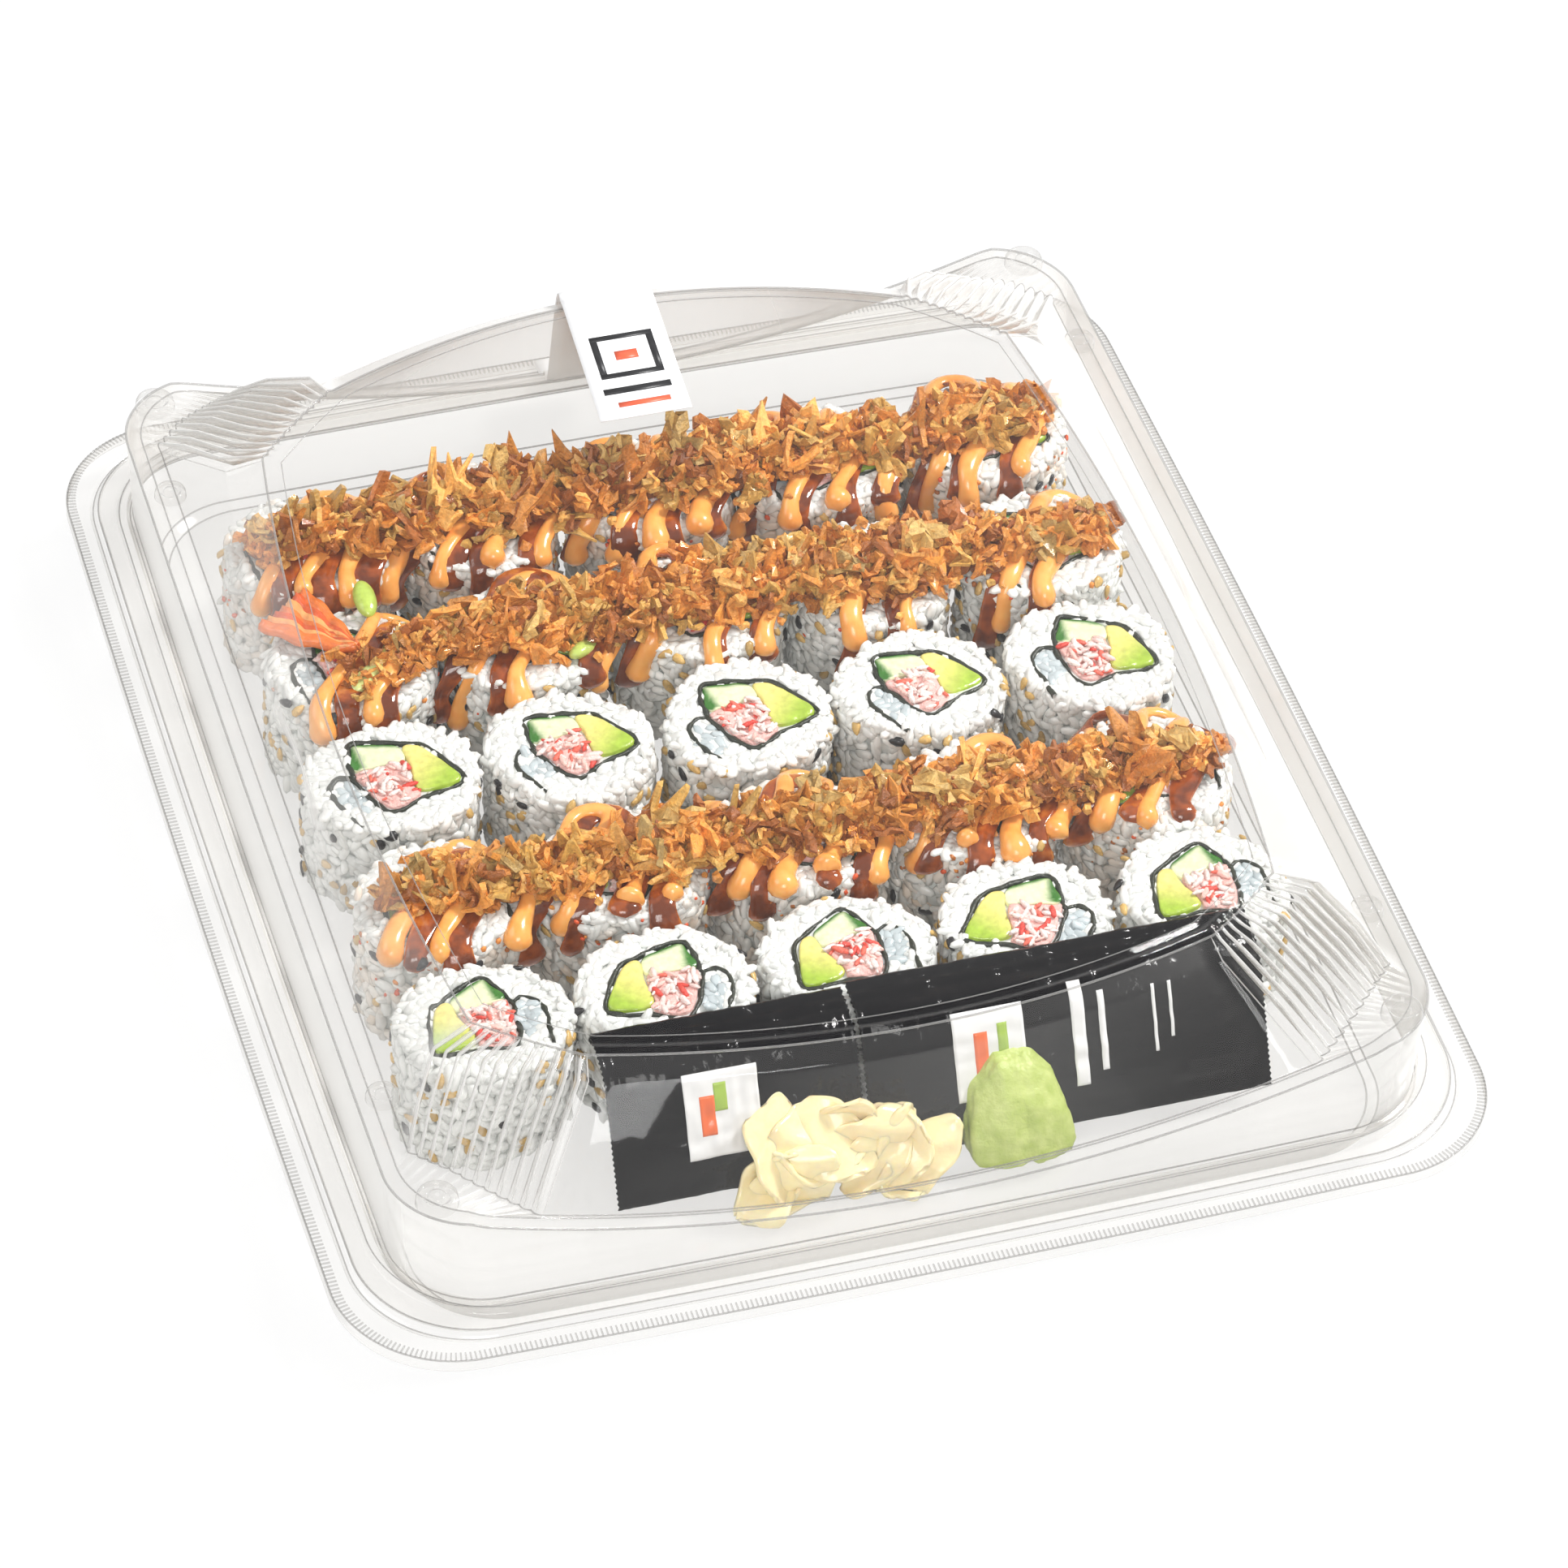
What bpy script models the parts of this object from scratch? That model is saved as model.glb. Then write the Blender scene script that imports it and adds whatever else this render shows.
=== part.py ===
"""Takeaway sushi tray: a clear two-piece pack of cut rolls, shut and sealed with a label.

The base tray holds five rows of five roll pieces, two soy sauce sachets, pickled ginger and
wasabi. Units are metres, +Z is up, -Y is the front and the pack stands on z = 0.
"""
import math
import random

import bmesh
import bpy

MM = 0.001
GAP = 0.35 * MM            # clearance between pieces that touch

# Pack outline, half sizes
RIM_X = 125.0 * MM
RIM_Y = 148.0 * MM
RIM_BOW = 1.0 * MM
RIM_CORNER = 26.0 * MM
RIM_Z = 13.0 * MM          # height of the base tray's rim above the table
BASE_WALL = 0.8 * MM
LID_WALL = 0.7 * MM

# Lid levels above the table
SHELF_Z = RIM_Z + 24.0 * MM
PANEL_Z = RIM_Z + 35.0 * MM
CROWN = 6.5 * MM           # how far the top panel rises from its sides to its middle
CROWN_HALF = 100.0 * MM
LIP_DIP = 16.8 * MM        # how far the lip sinks at the middle of the front and the back
LIP_DIP_HALF = 98.0 * MM

# Points around each outline: per side and per corner
SIDE_STEPS = 10
CORNER_STEPS = 12

# Roll pieces
COLUMNS = 5
ROWS = 5
COLUMN_PITCH = 39.7 * MM
ROW_Y = {1: 80.5 * MM, 2: 40.6 * MM, 3: 3.2 * MM, 4: -35.2 * MM, 5: -72.0 * MM}
ROLL_X = 38.6 * MM
ROLL_Y = 35.8 * MM
ROLL_HEIGHT = 29.0 * MM
FLOOR_Z = BASE_WALL + GAP
LEAN = 0.66                # how far the garnishes lean back onto the sachets, per height

# Shrimp tail
TAIL_X = -83.5 * MM
TAIL_Y = 48.5 * MM
TAIL_TURN = math.radians(-56.0)

for old in list(bpy.data.objects):
    bpy.data.objects.remove(old, do_unlink=True)

pack = bpy.data.collections.new("sushi_tray")
cutters = bpy.data.collections.new("cutters")
for group in (pack, cutters):
    bpy.context.scene.collection.children.link(group)


def material(name, color, roughness=0.5, alpha=1.0):
    """A Principled material of one colour."""
    made = bpy.data.materials.new(name)
    made.use_nodes = True
    shader = made.node_tree.nodes["Principled BSDF"]
    shader.inputs["Base Color"].default_value = (*color, 1.0)
    shader.inputs["Roughness"].default_value = roughness
    shader.inputs["Alpha"].default_value = alpha
    return made


def add_object(name, bm, made_material, group=pack):
    """Turn a bmesh into a named object in the pack's collection."""
    bmesh.ops.recalc_face_normals(bm, faces=bm.faces)
    mesh = bpy.data.meshes.new(name)
    bm.to_mesh(mesh)
    bm.free()
    mesh.materials.append(made_material)
    made = bpy.data.objects.new(name, mesh)
    group.objects.link(made)
    return made


def outline(half_x, half_y, cut_x, cut_y, bow_x, bow_y, roundness):
    """Anticlockwise points of a bowed rectangle with cut or rounded corners.

    roundness 1 gives an elliptic corner and 0 a straight chamfer.
    """
    points = []
    straight_x = half_x - cut_x
    straight_y = half_y - cut_y
    for quarter in range(4):
        along = straight_y if quarter % 2 == 0 else straight_x
        reach = half_x if quarter % 2 == 0 else half_y
        bow = bow_x if quarter % 2 == 0 else bow_y
        spin = quarter * math.pi / 2
        for step in range(SIDE_STEPS):
            t = -1.0 + 2.0 * step / SIDE_STEPS
            x, y = reach + bow * (1.0 - t * t), along * t
            points.append(turn(x, y, spin))
        cut_out = cut_x if quarter % 2 == 0 else cut_y
        cut_along = cut_y if quarter % 2 == 0 else cut_x
        for step in range(CORNER_STEPS):
            u = step / CORNER_STEPS
            angle = u * math.pi / 2
            arc = (reach - cut_out * (1.0 - math.cos(angle)), along + cut_along * math.sin(angle))
            line = (reach - cut_out * u, along + cut_along * u)
            x = arc[0] * roundness + line[0] * (1.0 - roundness)
            y = arc[1] * roundness + line[1] * (1.0 - roundness)
            points.append(turn(x, y, spin))
    return points


def turn(x, y, angle):
    """Rotate a point about the vertical axis."""
    return x * math.cos(angle) - y * math.sin(angle), x * math.sin(angle) + y * math.cos(angle)


def lip_drop(x, y):
    """Depth of the dip in the lid's lip along the front and back walls."""
    if abs(x) > LIP_DIP_HALF or abs(y) < RIM_Y * 0.6:
        return 0.0
    return LIP_DIP * (1.0 - (x / LIP_DIP_HALF) ** 2)


def crown(points, height):
    """Lift points onto the crowned top panel, at a height relative to the panel's sides."""
    return [(x, y, PANEL_Z + height + CROWN * (1.0 - (x / CROWN_HALF) ** 2)) for x, y in points]


def rim_ring(inset, z, corner=RIM_CORNER):
    """A ring that runs parallel to the rim."""
    points = outline(RIM_X - inset, RIM_Y - inset, corner, corner, RIM_BOW, RIM_BOW, 1.0)
    return [(x, y, z) for x, y in points]


def lid_lip_ring(half_x, half_y, corner, z):
    """The lip's ring, which dips at the front and the back."""
    points = outline(half_x, half_y, corner, corner, 0.5 * MM, 0.5 * MM, 1.0)
    return [(x, y, z - lip_drop(x, y)) for x, y in points]


def fluted(points, depth):
    """Push every second corner point outwards, which folds the corners into flutes."""
    total = SIDE_STEPS + CORNER_STEPS
    out = []
    for index, (x, y, z) in enumerate(points):
        in_corner = index % total > SIDE_STEPS
        reach = math.hypot(x, y)
        push = depth if in_corner and index % 2 == 1 else 0.0
        out.append((x * (1 + push / reach), y * (1 + push / reach), z))
    return out


def loft(rings, cap_last=True):
    """An open surface through rings of equal length, closed at the last ring."""
    bm = bmesh.new()
    rows = [[bm.verts.new(point) for point in ring] for ring in rings]
    count = len(rows[0])
    for lower, upper in zip(rows, rows[1:]):
        for index in range(count):
            after = (index + 1) % count
            bm.faces.new((lower[index], lower[after], upper[after], upper[index]))
    if cap_last:
        close_across(bm, rows[-1])
    return bm


def close_across(bm, ring):
    """Close a ring with strips that run across it, so that the cap follows its height."""
    count = len(ring)
    start = SIDE_STEPS // 2
    span = count // 2
    near = [ring[(start + step) % count] for step in range(span + 1)]
    far = [ring[(start - step) % count] for step in range(span + 1)]
    for index in range(span):
        corners = []
        for vert in (near[index], near[index + 1], far[index + 1], far[index]):
            if vert not in corners:
                corners.append(vert)
        if len(corners) > 2:
            bm.faces.new(corners)


def shell(name, rings, wall, made_material):
    """A thin tray-like shell: a loft given thickness downwards and inwards."""
    made = add_object(name, loft(rings), made_material)
    solid = made.modifiers.new("wall", "SOLIDIFY")
    solid.thickness = wall
    solid.offset = -1.0
    solid.use_even_offset = False
    return made


def up_facing(made):
    """Make a shell's open surface face upwards before it gets its thickness."""
    mesh = made.data
    cap = max(mesh.polygons, key=lambda face: face.area)
    if cap.normal.z < 0:
        mesh.flip_normals()
    return made


def base_tray():
    """Floor, sloping wall, flat rim and a short skirt turned down at its edge."""
    clear = material("clear_base", (0.86, 0.87, 0.86), 0.08, 0.35)
    floor = BASE_WALL
    rings = [
        rim_ring(0.0, RIM_Z - 3.0 * MM),
        rim_ring(0.0, RIM_Z - 0.6 * MM),
        rim_ring(0.6 * MM, RIM_Z),
        rim_ring(13.2 * MM, RIM_Z, RIM_CORNER - 6.0 * MM),
        rim_ring(14.2 * MM, RIM_Z - 1.2 * MM, RIM_CORNER - 6.0 * MM),
        rim_ring(18.5 * MM, floor + 1.6 * MM, RIM_CORNER - 6.0 * MM),
        rim_ring(20.3 * MM, floor, RIM_CORNER - 7.0 * MM),
    ]
    return up_facing(shell("base_tray", rings, BASE_WALL, clear))


def dome_foot():
    """The ring where the dome leaves the shelf, or the lip where that has sunk away."""
    points = outline(105.5 * MM, 130.6 * MM, 23.0 * MM, 20.0 * MM, 0.0, 0.5 * MM, 0.15)
    return [(x, y, SHELF_Z + 0.4 * MM - lip_drop(x, y)) for x, y in points]


def lid_rings():
    """Every ring of the lid's upper surface from its edge to its top panel."""
    seat = RIM_Z + GAP + LID_WALL
    shoulder = outline(95.0 * MM, 111.5 * MM, 27.0 * MM, 20.0 * MM, 6.0 * MM, 11.5 * MM, 0.1)
    panel = outline(87.0 * MM, 106.5 * MM, 20.0 * MM, 17.0 * MM, 6.5 * MM, 12.0 * MM, 0.1)
    inner = [(x * 0.96, y * 0.965) for x, y in panel]
    return [
        rim_ring(6.2 * MM, seat),
        rim_ring(10.2 * MM, seat),
        rim_ring(11.4 * MM, seat + 1.5 * MM),
        rim_ring(13.6 * MM, seat + 0.2 * MM, RIM_CORNER - 6.0 * MM),
        lid_lip_ring(112.0 * MM, 134.1 * MM, 19.0 * MM, SHELF_Z),
        lid_lip_ring(108.8 * MM, 131.2 * MM, 17.0 * MM, SHELF_Z + 0.3 * MM),
        fluted(dome_foot(), 1.1 * MM),
        fluted(crown(shoulder, -3.2 * MM), 1.1 * MM),
        fluted(crown(panel, -0.4 * MM), 0.6 * MM),
        crown(inner, 0.0),
    ]


def lid():
    """Clear dome lid: flange, bead, lower wall, lip, shelf, fluted corners, top panel."""
    clear = material("clear_lid", (0.90, 0.91, 0.90), 0.06, 0.30)
    return up_facing(shell("lid", lid_rings(), LID_WALL, clear))


def ribbon(name, profile, low_x, high_x, slant, thickness, made_material):
    """A sheet that follows a profile of (y, z) points, level along x and slanted in plan."""
    bm = bmesh.new()
    sides = []
    for x in (low_x, high_x):
        sides.append([bm.verts.new((x + slant * y, y, z)) for y, z in profile])
    for index in range(len(profile) - 1):
        bm.faces.new((sides[0][index], sides[1][index], sides[1][index + 1], sides[0][index + 1]))
    made = add_object(name, bm, made_material)
    if made.data.polygons[0].normal.z < 0:
        made.data.flip_normals()
    solid = made.modifiers.new("sheet", "SOLIDIFY")
    solid.thickness = thickness
    solid.offset = 1.0
    return made


def label_profile():
    """From the top panel over the back wall and the flange to the base's rim."""
    top = PANEL_Z + CROWN
    lip = SHELF_Z - LIP_DIP
    seat = RIM_Z + GAP + LID_WALL
    return [
        (76.6 * MM, top + 0.5 * MM),
        (114.0 * MM, top + 0.5 * MM),
        (119.0 * MM, top + 0.2 * MM),
        (124.0 * MM, top - 2.6 * MM),
        (132.0 * MM, lip + 1.6 * MM),
        (135.2 * MM, lip + 0.7 * MM),
        (138.6 * MM, seat + 2.4 * MM),
        (143.6 * MM, seat + 0.9 * MM),
        (147.4 * MM, RIM_Z + 0.9 * MM),
    ]


def seal_label():
    """White paper label that seals the lid to the base at the back."""
    paper = material("label_paper", (0.87, 0.87, 0.88), 0.6)
    return ribbon("seal_label", label_profile(), -17.5 * MM, 3.7 * MM, 0.059, 0.2 * MM, paper)


def sachet(name, low_x, high_x, profile, made_material):
    """A filled sachet: a bent pillow with flat sealed edges."""
    bm = bmesh.new()
    columns = 8
    grids = {1: [], -1: []}
    for side in (1, -1):
        for column in range(columns + 1):
            u = column / columns
            line = []
            for index, (y, z, normal_y, normal_z) in enumerate(profile):
                v = index / (len(profile) - 1)
                swell = math.sin(math.pi * u) ** 0.6 * math.sin(math.pi * v) ** 0.8
                half = 0.35 * MM + 1.5 * MM * swell
                line.append(bm.verts.new((low_x + (high_x - low_x) * u,
                                          y + side * half * normal_y,
                                          z + side * half * normal_z)))
            grids[side].append(line)
    last = len(profile) - 1
    for column in range(columns):
        for index in range(last):
            for side in (1, -1):
                grid = grids[side]
                bm.faces.new((grid[column][index], grid[column + 1][index],
                              grid[column + 1][index + 1], grid[column][index + 1]))
        for index in (0, last):
            bm.faces.new((grids[1][column][index], grids[1][column + 1][index],
                          grids[-1][column + 1][index], grids[-1][column][index]))
    for column in (0, columns):
        for index in range(last):
            bm.faces.new((grids[1][column][index], grids[1][column][index + 1],
                          grids[-1][column][index + 1], grids[-1][column][index]))
    return add_object(name, bm, made_material)


def sachet_profile(start_y, start_z, lean, length, steps=8):
    """(y, z) and normals of a sachet that lies on row 5 and bends down to the floor."""
    profile = []
    y, z = start_y, start_z
    for index in range(steps + 1):
        t = index / steps
        bend = min(1.0, max(0.0, (t - 0.12) / 0.28))
        angle = math.radians(8.0) + (lean - math.radians(8.0)) * bend * bend * (3 - 2 * bend)
        profile.append((y, z, -math.sin(angle), math.cos(angle)))
        y -= math.cos(angle) * length / steps
        z -= math.sin(angle) * length / steps
    return profile


def sachets():
    """Two black soy sauce sachets, the right one overlapping the left one."""
    film = material("sachet_film", (0.012, 0.012, 0.014), 0.28)
    top = FLOOR_Z + ROLL_HEIGHT
    left = sachet_profile(-84.0 * MM, top + 2.4 * MM, math.radians(63.0), 40.0 * MM)
    right = sachet_profile(-83.0 * MM, top + 2.6 * MM, math.radians(62.0), 41.0 * MM)
    sachet("sachet_left", -60.0 * MM, -5.4 * MM, left, film)
    sachet("sachet_right", -4.6 * MM, 84.0 * MM, right, film)


def roll_piece(name, row, column, made_material):
    """One cut roll standing on its cut face, a little uneven in outline."""
    source = random.Random(100 * row + column)
    bm = bmesh.new()
    bmesh.ops.create_cone(bm, cap_ends=True, segments=16, radius1=0.5, radius2=0.5, depth=1.0)
    wobble = [source.uniform(-0.014, 0.014) for _ in range(3)]
    phase = [source.uniform(0, 2 * math.pi) for _ in range(3)]
    edges = [edge for edge in bm.edges if abs(edge.verts[0].co.z - edge.verts[1].co.z) < 0.1]
    bmesh.ops.bevel(bm, geom=edges, offset=0.075, segments=1, affect="EDGES")
    for vert in bm.verts:
        angle = math.atan2(vert.co.y, vert.co.x)
        grow = 1.0 + sum(wobble[k] * math.cos((k + 2) * angle + phase[k]) for k in range(3))
        grow *= 1.0 - 0.02 * (vert.co.z + 0.5)
        vert.co.x *= grow * ROLL_X * 0.975
        vert.co.y *= grow * ROLL_Y * 0.975
        vert.co.z = FLOOR_Z + ROLL_HEIGHT * (vert.co.z + 0.5)
    place_x = (column - (COLUMNS + 1) / 2) * COLUMN_PITCH
    bmesh.ops.translate(bm, verts=bm.verts, vec=(place_x, ROW_Y[row], 0.0))
    return add_object(name, bm, made_material)


def rolls():
    """Five rows of five pieces."""
    rice = material("rice", (0.80, 0.82, 0.80), 0.45)
    for row in range(1, ROWS + 1):
        for column in range(1, COLUMNS + 1):
            roll_piece(f"roll_{row}_{column}", row, column, rice)


def heap(row, low_x, high_x, half_depth, height, made_material):
    """A long uneven heap of fried onion lying over a row of pieces."""
    source = random.Random(row)
    sections, around = 26, 8
    bottom = FLOOR_Z + ROLL_HEIGHT + GAP
    phases = [source.uniform(0, 2 * math.pi) for _ in range(6)]
    bm = bmesh.new()
    rings = []
    for index in range(sections + 1):
        u = index / sections
        x = low_x + (high_x - low_x) * u
        taper = max(0.28, math.sin(math.pi * min(1.0, max(0.0, u))) ** 0.35)
        wave = 0.5 * math.sin(9 * u + phases[0]) + 0.5 * math.sin(21 * u + phases[1])
        side = 0.5 * math.sin(14 * u + phases[2]) + 0.5 * math.sin(27 * u + phases[3])
        tall = height * taper * (0.82 + 0.16 * wave)
        deep = half_depth * taper * (0.88 + 0.12 * side)
        middle = ROW_Y[row] + 1.2 * MM * math.sin(11 * u + phases[4])
        ring = []
        for step in range(around + 1):
            angle = math.pi * step / around
            ring.append((x, middle + deep * math.cos(angle), bottom + tall * math.sin(angle)))
        rings.append([bm.verts.new(point) for point in ring])
    for lower, upper in zip(rings, rings[1:]):
        for index in range(around + 1):
            after = (index + 1) % (around + 1)
            bm.faces.new((lower[index], lower[after], upper[after], upper[index]))
    bm.faces.new(rings[0])
    bm.faces.new(rings[-1])
    return add_object(f"onion_heap_{row}", bm, made_material)


def heaps():
    """Fried onion on rows 1, 2 and 4."""
    onion = material("fried_onion", (0.50, 0.22, 0.06), 0.6)
    heap(1, -95.0 * MM, 97.0 * MM, 12.0 * MM, 9.0 * MM, onion)
    heap(2, -70.0 * MM, 97.0 * MM, 11.5 * MM, 9.0 * MM, onion)
    heap(4, -94.0 * MM, 96.0 * MM, 10.5 * MM, 8.0 * MM, onion)


def lump(name, centre, size, seed, roughness, made_material):
    """A lumpy rounded solid with a flat foot just above the tray's floor."""
    source = random.Random(seed)
    bm = bmesh.new()
    bmesh.ops.create_icosphere(bm, subdivisions=2, radius=1.0)
    waves = [(source.uniform(2, 5), source.uniform(2, 5), source.uniform(0, 6.28))
             for _ in range(4)]
    for vert in bm.verts:
        x, y, z = vert.co
        bump = sum(math.sin(a * x + b * y + p + 2 * z) for a, b, p in waves) / len(waves)
        grow = 1.0 + roughness * bump
        height = max(0.0, size[2] * (0.35 + 0.65 * z) * grow)
        vert.co = (centre[0] + size[0] * x * grow,
                   centre[1] + size[1] * y * grow + LEAN * height,
                   centre[2] + height)
    bmesh.ops.dissolve_degenerate(bm, dist=0.00005, edges=bm.edges)
    return add_object(name, bm, made_material)


def garnishes():
    """Pickled ginger and wasabi in front of the sachets."""
    ginger = material("ginger", (0.90, 0.76, 0.42), 0.35)
    wasabi = material("wasabi", (0.40, 0.58, 0.12), 0.55)
    lump("pickled_ginger", (-8.0 * MM, -120.8 * MM, FLOOR_Z), (25.0 * MM, 6.0 * MM, 20.0 * MM),
         3, 0.08, ginger)
    lump("wasabi", (27.0 * MM, -120.8 * MM, FLOOR_Z), (12.0 * MM, 6.2 * MM, 22.0 * MM),
         5, 0.04, wasabi)


def shrimp_tail():
    """The tail fan that lies on the left end of row 2."""
    shell_orange = material("shrimp_tail", (0.85, 0.30, 0.08), 0.35)
    bm = bmesh.new()
    bmesh.ops.create_uvsphere(bm, u_segments=12, v_segments=8, radius=1.0)
    bottom = FLOOR_Z + ROLL_HEIGHT + GAP
    for vert in bm.verts:
        x, y, z = vert.co
        fan = 0.5 + 0.5 * (0.5 - 0.5 * x)
        along, across = turn(12.5 * MM * x, 5.2 * MM * y * fan, TAIL_TURN)
        vert.co = (TAIL_X + along, TAIL_Y + across,
                   bottom + 2.2 * MM * (1.0 + z) * (0.7 + 0.3 * fan))
    return add_object("shrimp_tail", bm, shell_orange)


def main():
    base_tray()
    lid()
    seal_label()
    sachets()
    rolls()
    heaps()
    garnishes()
    shrimp_tail()


main()
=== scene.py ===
"""Looks of the shut takeaway sushi tray: clear pack, 25 cut rolls, sauces, sachets, garnish."""
import math

import bpy
import numpy as np
from mathutils import Matrix, Vector, noise


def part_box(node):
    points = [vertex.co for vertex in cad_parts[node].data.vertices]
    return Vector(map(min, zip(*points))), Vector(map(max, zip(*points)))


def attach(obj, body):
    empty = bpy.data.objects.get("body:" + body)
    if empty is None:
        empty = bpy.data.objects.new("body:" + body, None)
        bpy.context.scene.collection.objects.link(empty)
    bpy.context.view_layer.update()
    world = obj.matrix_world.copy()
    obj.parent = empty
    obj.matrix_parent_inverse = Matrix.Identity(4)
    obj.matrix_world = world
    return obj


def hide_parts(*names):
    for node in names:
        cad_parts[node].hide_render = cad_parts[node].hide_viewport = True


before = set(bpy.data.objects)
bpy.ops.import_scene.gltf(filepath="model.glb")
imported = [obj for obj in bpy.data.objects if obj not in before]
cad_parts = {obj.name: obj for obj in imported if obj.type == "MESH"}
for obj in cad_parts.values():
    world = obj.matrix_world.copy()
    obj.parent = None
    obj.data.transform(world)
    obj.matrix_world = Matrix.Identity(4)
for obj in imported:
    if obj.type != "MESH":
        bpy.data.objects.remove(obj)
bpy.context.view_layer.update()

MM = 0.001
UP = (0.0, 0.0, 1.0)

# Pack levels and sizes, read from the frame
BASE_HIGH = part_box("base_tray")[1]
RIM_X, RIM_Y = BASE_HIGH[0] - 1.0 * MM, BASE_HIGH[1] - 1.0 * MM
RIM_Z = BASE_HIGH[2]
SEAT_Z = RIM_Z + 0.9 * MM       # the lid's flange on the rim
CROWN = 6.5 * MM                # rise of the top panel's middle
CROWN_HALF = 100.0 * MM
PANEL_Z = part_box("lid")[1][2] - CROWN
SHELF_Z = PANEL_Z - 11.0 * MM
LIP_DIP = 16.8 * MM
LIP_DIP_HALF = 98.0 * MM
RIM_CORNER = 26.0 * MM
INNER_CORNER = RIM_CORNER - 6 * MM
BEND = 1.3 * MM                 # how far each bend is rounded off
BEND_LEVELS = 6                 # levels that rounding makes of each ring
SIDE_STEPS = 32
CORNER_STEPS = 72
QUARTER_STEPS = SIDE_STEPS + CORNER_STEPS
FLUTES = 12
LUG_SIDES = 32

# Rolls
ROWS, COLUMNS = range(1, 6), range(1, 6)
PIECES = [(row, column) for row in ROWS for column in COLUMNS]
TOPPED_ROWS = (1, 2, 4)
(_, _, FLOOR_Z), (_, _, ROLL_TOP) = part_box("roll_3_3")
ROLL_HEIGHT = ROLL_TOP - FLOOR_Z
ROLL_RX, ROLL_RY = 18.9 * MM, 17.6 * MM


# ---------------------------------------------------------------- materials

def new_material(name, color, roughness, **sockets):
    """A Principled material; sockets are given by name with _ for spaces."""
    made = bpy.data.materials.new(name)
    made.use_nodes = True
    shader = made.node_tree.nodes["Principled BSDF"]
    shader.inputs["Base Color"].default_value = (*color, 1.0)
    shader.inputs["Roughness"].default_value = roughness
    for key, value in sockets.items():
        shader.inputs[key.replace("_", " ")].default_value = value
    return made


def shader_of(made):
    return made.node_tree.nodes["Principled BSDF"]


def add_node(made, kind, **values):
    node = made.node_tree.nodes.new(kind)
    for key, value in values.items():
        if key in node.inputs:
            node.inputs[key].default_value = value
        else:
            setattr(node, key, value)
    return node


def noise_node(made, scale, detail=3.0, roughness=0.55):
    """Noise in object space; features are about 1 / scale metres wide."""
    place = add_node(made, "ShaderNodeTexCoord")
    texture = add_node(made, "ShaderNodeTexNoise", Scale=scale, Detail=detail, Roughness=roughness)
    made.node_tree.links.new(place.outputs["Object"], texture.inputs["Vector"])
    return texture


def ramp_node(made, stops):
    ramp = add_node(made, "ShaderNodeValToRGB")
    while len(ramp.color_ramp.elements) < len(stops):
        ramp.color_ramp.elements.new(0.5)
    for element, (place, color) in zip(ramp.color_ramp.elements, stops):
        element.position = place
        element.color = (*color, 1.0)
    return ramp


def mottle(made, scale, stops, detail=3.0):
    """Base colour from noise through a colour ramp."""
    links = made.node_tree.links
    ramp = ramp_node(made, stops)
    links.new(noise_node(made, scale, detail).outputs["Fac"], ramp.inputs["Fac"])
    links.new(ramp.outputs["Color"], shader_of(made).inputs["Base Color"])
    return made


def tone(made, scale=900.0, low=0.78, high=1.12):
    """Base colour from the mesh's own tone colours, varied by fine noise."""
    links = made.node_tree.links
    own = add_node(made, "ShaderNodeAttribute", attribute_name="tone")
    ramp = ramp_node(made, [(0.3, (low,) * 3), (0.7, (high,) * 3)])
    mix = add_node(made, "ShaderNodeMix", data_type="RGBA", blend_type="MULTIPLY")
    mix.inputs["Factor"].default_value = 1.0
    links.new(noise_node(made, scale).outputs["Fac"], ramp.inputs["Fac"])
    links.new(own.outputs["Color"], mix.inputs["A"])
    links.new(ramp.outputs["Color"], mix.inputs["B"])
    links.new(mix.outputs["Result"], shader_of(made).inputs["Base Color"])
    return made


def bump(made, scale, distance, strength=0.6, detail=3.0):
    """Fine relief."""
    links = made.node_tree.links
    relief = add_node(made, "ShaderNodeBump", Strength=strength, Distance=distance)
    links.new(noise_node(made, scale, detail).outputs["Fac"], relief.inputs["Height"])
    links.new(relief.outputs["Normal"], shader_of(made).inputs["Normal"])
    return made


def math_node(made, operation, first, second):
    """A two-input Math node; each input is a socket or a number."""
    node = add_node(made, "ShaderNodeMath", operation=operation)
    for value, socket in zip((first, second), node.inputs):
        if isinstance(value, float):
            socket.default_value = value
        else:
            made.node_tree.links.new(value, socket)
    return node.outputs["Value"]


def map_range(made, value, **ends):
    """A Map Range node; ends are given by name with _ for spaces."""
    node = add_node(made, "ShaderNodeMapRange")
    for key, end in ends.items():
        node.inputs[key.replace("_", " ")].default_value = end
    made.node_tree.links.new(value, node.inputs["Value"])
    return node.outputs["Result"]


def mix_shaders(made, share, first, second):
    """Two shader outputs mixed by a share."""
    node = add_node(made, "ShaderNodeMixShader")
    for socket, value in zip(node.inputs, (share, first, second)):
        made.node_tree.links.new(value, socket)
    return node.outputs["Shader"]


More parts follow.
